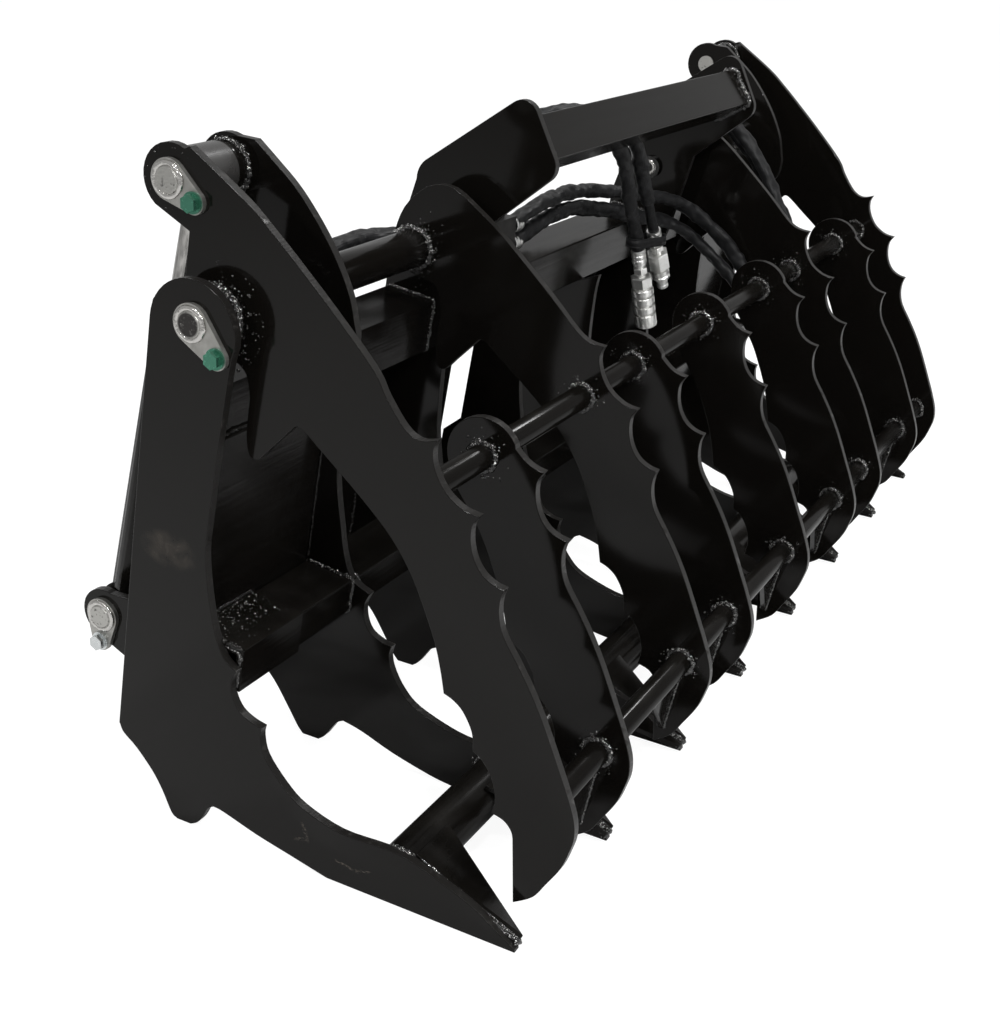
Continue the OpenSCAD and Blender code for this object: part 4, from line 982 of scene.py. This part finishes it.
class GRAPPLE_OT_frame_welds(bpy.types.Operator):
    """Make the weld beads of the frame."""
    bl_idname = "grapple.frame_welds"
    bl_label = "Frame welds"

    def execute(self, context):
        size = context.scene.grapple_sizes.bead * 1000.0
        pipe, tubes, lines, tips = [], [], [], []
        for x in TINE_X:
            for face, out in both_sides(x):
                if abs(face) > SIDE_X:
                    continue
                pipe.append(ring_weld(face, FRONT_PIPE, PIPE_RING, out, size * 0.8))
                tubes.append(box_weld(face, lean_box(*LOWER_TUBE), out, size * 0.6))
        for x in (-EAR_X, EAR_X):
            for face, out in both_sides(x):
                tubes.append(box_weld(face, lean_box(*UPPER_TUBE), out, size * 0.62))
            inner = x - math.copysign(HALF_PLATE, x)
            turn, half = TOP_TUBE_TURN, TOP_TUBE_HALF + 1.5
            square = [(TOP_TUBE[0] + a * math.cos(turn) - b * math.sin(turn),
                       TOP_TUBE[1] + a * math.sin(turn) + b * math.cos(turn))
                      for a, b in ((-half, -half), (half, -half), (half, half), (-half, half))]
            tubes.append(box_weld(inner, square, -math.copysign(1.0, x), size * 1.15))
        for side in (-1.0, 1.0):
            inner = side * (SIDE_X - HALF_PLATE)
            tubes.append(box_weld(inner, lean_box(*UPPER_TUBE), -side, size * 0.6))
            # Panels along the side plate and the outer tine, and along the upper tube
            for x, out in ((inner, -side), (side * (TINE_X[-2] + HALF_PLATE), side)):
                for low, high in PANEL_LEVELS:
                    lines.append(seam_weld((x + out, *lean_point(PANEL_BACK, low)),
                                           (x + out, *lean_point(PANEL_BACK, high)),
                                           (out, -1.0, 0.0), size * 0.5))
            top = lean_point(-83.2, 546)
            lines.append(seam_weld(*[(side * x, *top) for x in PANEL_SEAM],
                                   (0.0, -0.7, 0.7), size * 0.6))
            # The sleeve along the side plate's inner face, and along the panel
            lines.append(seam_weld((inner, *lean_point(-97, 301.5)),
                                   (inner, *lean_point(-170, 301.5)), (-side, -0.5, 0.4),
                                   size * 0.8))
            place = lean_point(-91.5, 301)
            lines.append(seam_weld(*[(side * x, *place) for x in SLEEVE_SEAM],
                                   (0.0, -0.7, 0.7), size * 0.6))
            # Cylinder lugs on the panel
            for x in (side * ARM_X, side * CLEVIS_X):
                for face, out in both_sides(x):
                    lines.append(seam_weld((face, *lean_point(LUG_BACK, 157)),
                                           (face, *lean_point(LUG_BACK, 290)),
                                           (out, 1.0, 0.0), size * 0.8))
            for face, out in both_sides(side * EAR_X):
                lines.append(seam_weld((face, *lean_point(EAR_BACK, 145)),
                                       (face, *lean_point(EAR_BACK, 530)),
                                       (out, -1.0, 0.0), size * 0.7))
        # Plain tines under the upper tube
        for x in (TINE_X[1], TINE_X[3], TINE_X[4], TINE_X[6]):
            for face, out in both_sides(x):
                lines.append(seam_weld((face, *lean_point(-80, 534.2)),
                                       (face, *lean_point(-30, 534.2)), (out, 0.0, -1.0),
                                       size * 0.8))
        # Tip plates: a thin seam along their tine, a fuller one in the groove behind the tip,
        # and a blob that closes the tip
        lift = np.array([-math.sin(TIP_SLOPE), math.cos(TIP_SLOPE)]) * 6.6
        for i, x in enumerate(TINE_X):
            for side in (-1.0, 1.0):
                if (i == 0 and side < 0) or (i == 7 and side > 0):
                    continue
                face = x + side * HALF_PLATE
                tips.append(seam_weld((face, *(np.array([6.0, 6.9]) + lift)),
                                      (face, *(np.array([143.0, 66.7]) + lift)),
                                      (side, -0.3, 0.8), size * 0.3))
                tips.append(seam_weld((face - side * 1.5, 5.5, 9.4),
                                      (face - side * 0.5, 54.0, 29.5),
                                      (-side * 0.4, -0.4, 0.8), size * 0.95))
                tip = [(face - side * 8.0, 4.5, 7.5), (face, 5.0, 8.8),
                       (face + side * 9.0, 7.0, 10.5)]
                tips.append((*line_path(tip, (0.0, -0.6, 0.5), 0.9), False, size * 1.2))
        make_welds({"front_pipe_welds": (pipe, 11), "frame_tube_welds": (tubes, 12),
                    "frame_seam_welds": (lines, 13), "tip_welds": (tips, 14)},
                   {"frame_seam_welds": "seam paint"}, "frame")
        return {"FINISHED"}


class GRAPPLE_OT_lid_welds(bpy.types.Operator):
    """Make the weld beads of the lid."""
    bl_idname = "grapple.lid_welds"
    bl_label = "Lid welds"

    def execute(self, context):
        size = context.scene.grapple_sizes.bead * 1000.0
        rings, thick, lines = [], [], []
        for x in LID_X:
            for face, out in both_sides(x):
                if abs(face) > ARM_X:
                    continue
                for centre in (LID_UPPER, LID_LOWER):
                    rings.append(ring_weld(face, centre, LID_RING, out, size * 0.95))
        for x in (ARM_X, CLEVIS_X, TALL_X):
            for side in (-1.0, 1.0):
                for face, out in both_sides(side * x):
                    outer = x == ARM_X and out == side
                    radius, wide = (OUTER_PIVOT_RING, 8.4) if outer else (PIVOT_RING, size * 1.15)
                    thick.append(ring_weld(face, PIVOT, radius, out, wide))
        for side in (-1.0, 1.0):
            for x, out in ((ARM_X - HALF_PLATE, -side), (CLEVIS_X + HALF_PLATE, side)):
                thick.append(ring_weld(side * x, ROD_PIN, ROD_RING, out, size))
        # Gussets: down the arm or tine to its tip, and along the tube
        tube, foot = np.array(LID_LOWER), np.array(GUSSET_FOOT)
        down = unit(foot - tube)
        front = np.array([down[1], -down[0]]) * 4.6
        for i, x in enumerate(LID_X):
            for side in (-1.0, 1.0):
                if (i == 0 and side < 0) or (i == 8 and side > 0):
                    continue
                face = x + side * HALF_PLATE
                for way in (1.0, -1.0):
                    bulge = front * way / 5.0
                    a, b = tube + down * 20.0 + front * way, foot + front * way
                    lines.append(seam_weld((face, *a), (face, *b), (side, *bulge), size * 0.45))
                    a = tube + down * 15.5 + front * way
                    lines.append(seam_weld((face + side * 4.0, *a), (face + side * 82.0, *a),
                                           (0.0, *bulge), size * 0.5))
        make_welds({"lid_tube_welds": (rings, 21), "lid_pivot_welds": (thick, 22),
                    "lid_gusset_welds": (lines, 23)}, {}, "lid")
        return {"FINISHED"}


class GRAPPLE_OT_spatter(bpy.types.Operator):
    """Scatter painted-over weld spatter round the joints that show it."""
    bl_idname = "grapple.spatter"
    bl_label = "Spatter"

    def execute(self, context):
        rng = np.random.default_rng(41)

        def round_joint(x, centre, radius, spread, count, out):
            """Places on a plate's face round a tube: the distance past it falls off fast. At
            the front pipe only those within the tine's height are kept, and at the lid's pivot
            only those in front of it."""
            a = rng.uniform(0, 2 * np.pi, count)
            r = radius + 3.0 + np.minimum(rng.exponential(spread, count), spread * 2.6)
            y, z = centre[0] + r * np.cos(a), centre[1] + r * np.sin(a)
            kept = (z < 70.0) & (z > 4.0) if centre == FRONT_PIPE else np.ones(count, bool)
            if centre == PIVOT:
                kept = y < centre[0] - 4.0
            places = np.stack([np.full(count, x), y, z], 1)[kept]
            return places, np.repeat([[out, 0.0, 0.0]], len(places), 0)

        # Each joint of a plate: its middle, its radius, the spread of its blobs and their count
        arm = ((PIVOT, 33.0, 12.0, 320), (ROD_PIN, 31.0, 1.5, 20))
        tall = ((PIVOT, 30.0, 10.0, 110),)
        tine = ((LID_UPPER, 20.0, 5.0, 46), (LID_LOWER, 20.0, 3.0, 30))
        plates = [(side * x, joints) for side in (-1.0, 1.0)
                  for x, joints in ((ARM_X, arm), (TALL_X, tall))]
        plates += [(x, tine) for x in LID_X[1:-1]]
        lid, body = [], []
        for x, joints in plates:
            for face, out in both_sides(x):
                lid += [round_joint(face, *joint, out) for joint in joints]
        for x in TINE_X:
            for face, out in both_sides(x):
                if abs(face) < SIDE_X:
                    body.append(round_joint(face, FRONT_PIPE, 35.0, 3.0, 20, out))
        for side in (-1.0, 1.0):
            count = 240
            along = rng.uniform(784, 905, count) * side
            back = PANEL_BACK - np.abs(rng.normal(0, 28, count)).clip(0, 76)
            y, z = lean_point(back, 300.0)
            places = np.stack([along, y, z], 1)
            way = np.array([[0.0, -math.sin(LEAN), math.cos(LEAN)]])
            body.append((places, np.repeat(way, count, 0)))
        for name, found, ride in (("lid_spatter", lid, "lid"), ("frame_spatter", body, "frame")):
            places = np.concatenate([f[0] for f in found])
            ways = np.concatenate([f[1] for f in found])
            sizes = 0.5 + rng.exponential(0.45, len(places)).clip(0, 1.8)
            # The spatter takes the bead paint, painted glints included.
            new_piece(name, blob_points(places, ways, sizes, rng), "bead paint with painted glints", ride,
                      crisp=75.0)
        return {"FINISHED"}


class GRAPPLE_OT_pin_rings(bpy.types.Operator):
    """Make the fused rings round the pins on their flags, and the bright inner pin rings."""
    bl_idname = "grapple.pin_rings"
    bl_label = "Pin rings"

    def execute(self, context):
        groups = {"frame_pin_rings": ("frame", []), "lid_pin_rings": ("lid", [])}
        seed = 50
        for side in (-1.0, 1.0):
            for face, centre, group in ((SIDE_FACE, PIVOT, "frame_pin_rings"),
                                        (ARM_FACE, LOW_PIN, "frame_pin_rings"),
                                        (ARM_FACE, ROD_PIN, "lid_pin_rings")):
                x = side * (face + FLAG_T + 0.6)
                path, _ = circle_path(x, centre, 18.2, side)
                bulge = np.repeat([[side, 0.0, 0.0]], len(path), 0)
                seed += 1
                rng = np.random.default_rng(seed)
                a = np.linspace(0, 2 * np.pi, 17)[:-1]
                turn = np.linspace(0, 2 * np.pi, len(path) + 1)[:-1]
                lumps = sum(np.cos(k * turn + rng.uniform(0, 6.28)) * 0.05 for k in (2, 3, 5, 9))
                out = unit(np.stack([np.zeros(len(path)), np.cos(turn), np.sin(turn)], 1))
                wide = 3.6 * (1 + lumps)[:, None] * np.cos(a)[None]
                high = 2.9 * (1 + lumps)[:, None] * np.sin(a)[None]
                grid = (path[:, None] + wide[..., None] * out[:, None]
                        + high[..., None] * bulge[:, None])
                groups[group][1].append((metres(grid), True, None))
            path, _ = circle_path(side * INNER_RING_X, PIVOT, 10.5, -side)
            a = np.linspace(0, 2 * np.pi, 13)[:-1]
            out = unit(path - (side * INNER_RING_X, *PIVOT))
            grid = (path[:, None] + 3.4 * np.cos(a)[None, :, None] * out[:, None]
                    - side * 1.6 * np.sin(a)[None, :, None] * np.array([1.0, 0.0, 0.0]))
            groups["frame_pin_rings"][1].append((metres(grid), True, None))
        for name, (body, parts) in groups.items():
            new_piece(name, parts, "bright ring", body, crisp=75.0)
        return {"FINISHED"}


class GRAPPLE_OT_steelwork(bpy.types.Operator):
    """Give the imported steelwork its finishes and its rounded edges."""
    bl_idname = "grapple.steelwork"
    bl_label = "Steelwork"

    def execute(self, context):
        looks = {"zinc_plate": "zinc plate", "pin_steel": "pin steel",
                 "green_bolts": "green bolts", "frame_bolts": "frame bolts",
                 "bronze": "bronze", "chrome_rod": "chrome rod", "bare_steel": "bare steel",
                 "hose_sleeve": "woven sleeve"}
        slots = {part["node"]: part["material_slot"] for part in frame["record"]["subparts"]}
        plates = ("side_plate", "bottom_tine", "lid_arm", "lid_tine", "lid_clevis",
                  "cylinder_lugs")
        for name, node in frame["nodes"].items():
            look = looks.get(slots[name])
            if look is None:
                look = "plate paint" if name.startswith(plates) else "tube paint"
            if name == "hose_manifold":
                look = "oily zinc"
            node.data.materials.clear()
            node.data.materials.append(finish(look))
            round_by = context.scene.grapple_sizes.edge_round
            if name.startswith(plates) or slots[name] == "black_paint":
                weld = node.modifiers.new("join", "WELD")
                weld.merge_threshold = 0.00002
                edge = node.modifiers.new("round", "BEVEL")
                edge.width = round_by * (2.6 if "tube" in name and "sleeves" not in name
                                         and not name.startswith("lid") else 1.0)
                edge.segments = 2
                edge.limit_method = "ANGLE"
                edge.angle_limit = math.radians(40.0)
                edge.use_clamp_overlap = False
                edge.harden_normals = True
        return {"FINISHED"}


# The soft round lamps: name, place, width and power, and the point that they look at
LAMPS = (("key", (-1.2, -3.2, 3.6), 0.35, 60.0), ("top", (1.4, -0.6, 3.6), 0.5, 45.0),
         ("left", (-4.2, 0.8, 2.6), 0.35, 30.0), ("front", (-3.4, -2.4, 3.4), 0.35, 45.0),
         ("ceiling", (-0.8, -0.6, 4.2), 0.4, 45.0), ("rear", (1.0, 3.4, 2.6), 1.0, 40.0))
LAMPS_AIM = (0.0, 0.0, 0.4)
FLOOR_REACH = 60.0
# The floor lies this far under the part's foot, so that the two faces don't meet
FLOOR_DROP = 0.0004


class GRAPPLE_OT_stage(bpy.types.Operator):
    """Make the pale floor, the white background and the soft lamps."""
    bl_idname = "grapple.stage"
    bl_label = "Stage"

    def execute(self, context):
        scene = context.scene
        scene.view_settings.view_transform = "Standard"
        mesh = bpy.data.meshes.new("floor")
        corners = ((-1, -1), (1, -1), (1, 1), (-1, 1))
        mesh.from_pydata([(a * FLOOR_REACH, b * FLOOR_REACH, -FLOOR_DROP) for a, b in corners],
                         [], [(0, 1, 2, 3)])
        floor = bpy.data.objects.new("floor", mesh)
        scene.collection.objects.link(floor)
        net = Net("pale_floor")
        path = net.node("ShaderNodeLightPath")
        seen = Value(net, path.outputs["Is Camera Ray"])
        ground = net.node("ShaderNodeBsdfDiffuse", None, {"Color": (0.8, 0.8, 0.8, 1.0)})
        glow = net.node("ShaderNodeEmission", None, {"Color": (1.0, 1.0, 1.0, 1.0),
                                                     "Strength": 1.16})
        mixed = net.node("ShaderNodeMixShader", None,
                         {"Fac": seen * 0.8, 1: ground.outputs[0], 2: glow.outputs[0]})
        net.node("ShaderNodeOutputMaterial", None, {"Surface": mixed.outputs[0]})
        mesh.materials.append(net.material)
        world = bpy.data.worlds.new("studio")
        scene.world = world
        world.use_nodes = True
        tree = world.node_tree
        tree.nodes.clear()
        path = tree.nodes.new("ShaderNodeLightPath")
        links = tree.links
        soft = tree.nodes.new("ShaderNodeBackground")
        soft.inputs["Color"].default_value = (1.0, 1.0, 1.0, 1.0)
        soft.inputs["Strength"].default_value = 0.55
        white = tree.nodes.new("ShaderNodeBackground")
        white.inputs["Color"].default_value = (1.0, 1.0, 1.0, 1.0)
        white.inputs["Strength"].default_value = 1.0
        mixed = tree.nodes.new("ShaderNodeMixShader")
        links.new(path.outputs["Is Camera Ray"], mixed.inputs[0])
        links.new(soft.outputs[0], mixed.inputs[1])
        links.new(white.outputs[0], mixed.inputs[2])
        output = tree.nodes.new("ShaderNodeOutputWorld")
        links.new(mixed.outputs[0], output.inputs["Surface"])
        for name, place, size, power in LAMPS:
            lamp = bpy.data.lights.new(name, "AREA")
            lamp.shape = "DISK"
            lamp.size = size
            lamp.energy = power
            holder = bpy.data.objects.new(name, lamp)
            aim = np.array(LAMPS_AIM) - np.array(place)
            back = -aim / np.linalg.norm(aim)
            right = np.cross((0.0, 0.0, 1.0), back)
            right = right / np.linalg.norm(right)
            turn = Matrix([right, np.cross(back, right), back]).transposed().to_4x4()
            holder.matrix_world = Matrix.Translation(place) @ turn
            scene.collection.objects.link(holder)
        return {"FINISHED"}


class GRAPPLE_PT_panel(bpy.types.Panel):
    """The grapple's sizes, finishes and operators."""
    bl_label = "Root grapple"
    bl_idname = "GRAPPLE_PT_panel"
    bl_space_type = "VIEW_3D"
    bl_region_type = "UI"
    bl_category = "Grapple"

    def draw(self, context):
        for owner in (context.scene.grapple_sizes, context.scene.grapple_finishes):
            for name in owner.__annotations__:
                self.layout.prop(owner, name)
        for operator in OPERATORS:
            self.layout.operator(operator.bl_idname)


OPERATORS = (GRAPPLE_OT_camera, GRAPPLE_OT_couplers, GRAPPLE_OT_hoses, GRAPPLE_OT_frame_welds,
             GRAPPLE_OT_lid_welds, GRAPPLE_OT_spatter, GRAPPLE_OT_pin_rings,
             GRAPPLE_OT_steelwork, GRAPPLE_OT_stage)
CLASSES = (GrappleSizes, GrappleFinishes, *OPERATORS, GRAPPLE_PT_panel)


def register():
    """Make the classes and the scene's settings known to Blender."""
    for cls in CLASSES:
        bpy.utils.register_class(cls)
    bpy.types.Scene.grapple_sizes = bpy.props.PointerProperty(type=GrappleSizes)
    bpy.types.Scene.grapple_finishes = bpy.props.PointerProperty(type=GrappleFinishes)


def unregister():
    """Take the settings and the classes out again."""
    del bpy.types.Scene.grapple_finishes
    del bpy.types.Scene.grapple_sizes
    for cls in reversed(CLASSES):
        bpy.utils.unregister_class(cls)


def main():
    """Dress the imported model."""
    register()
    bpy.ops.grapple.camera()
    bpy.ops.grapple.couplers()
    bpy.ops.grapple.hoses()
    bpy.ops.grapple.frame_welds()
    bpy.ops.grapple.lid_welds()
    bpy.ops.grapple.spatter()
    bpy.ops.grapple.pin_rings()
    bpy.ops.grapple.steelwork()
    bpy.ops.grapple.stage()


if __name__ == "__main__":
    main()
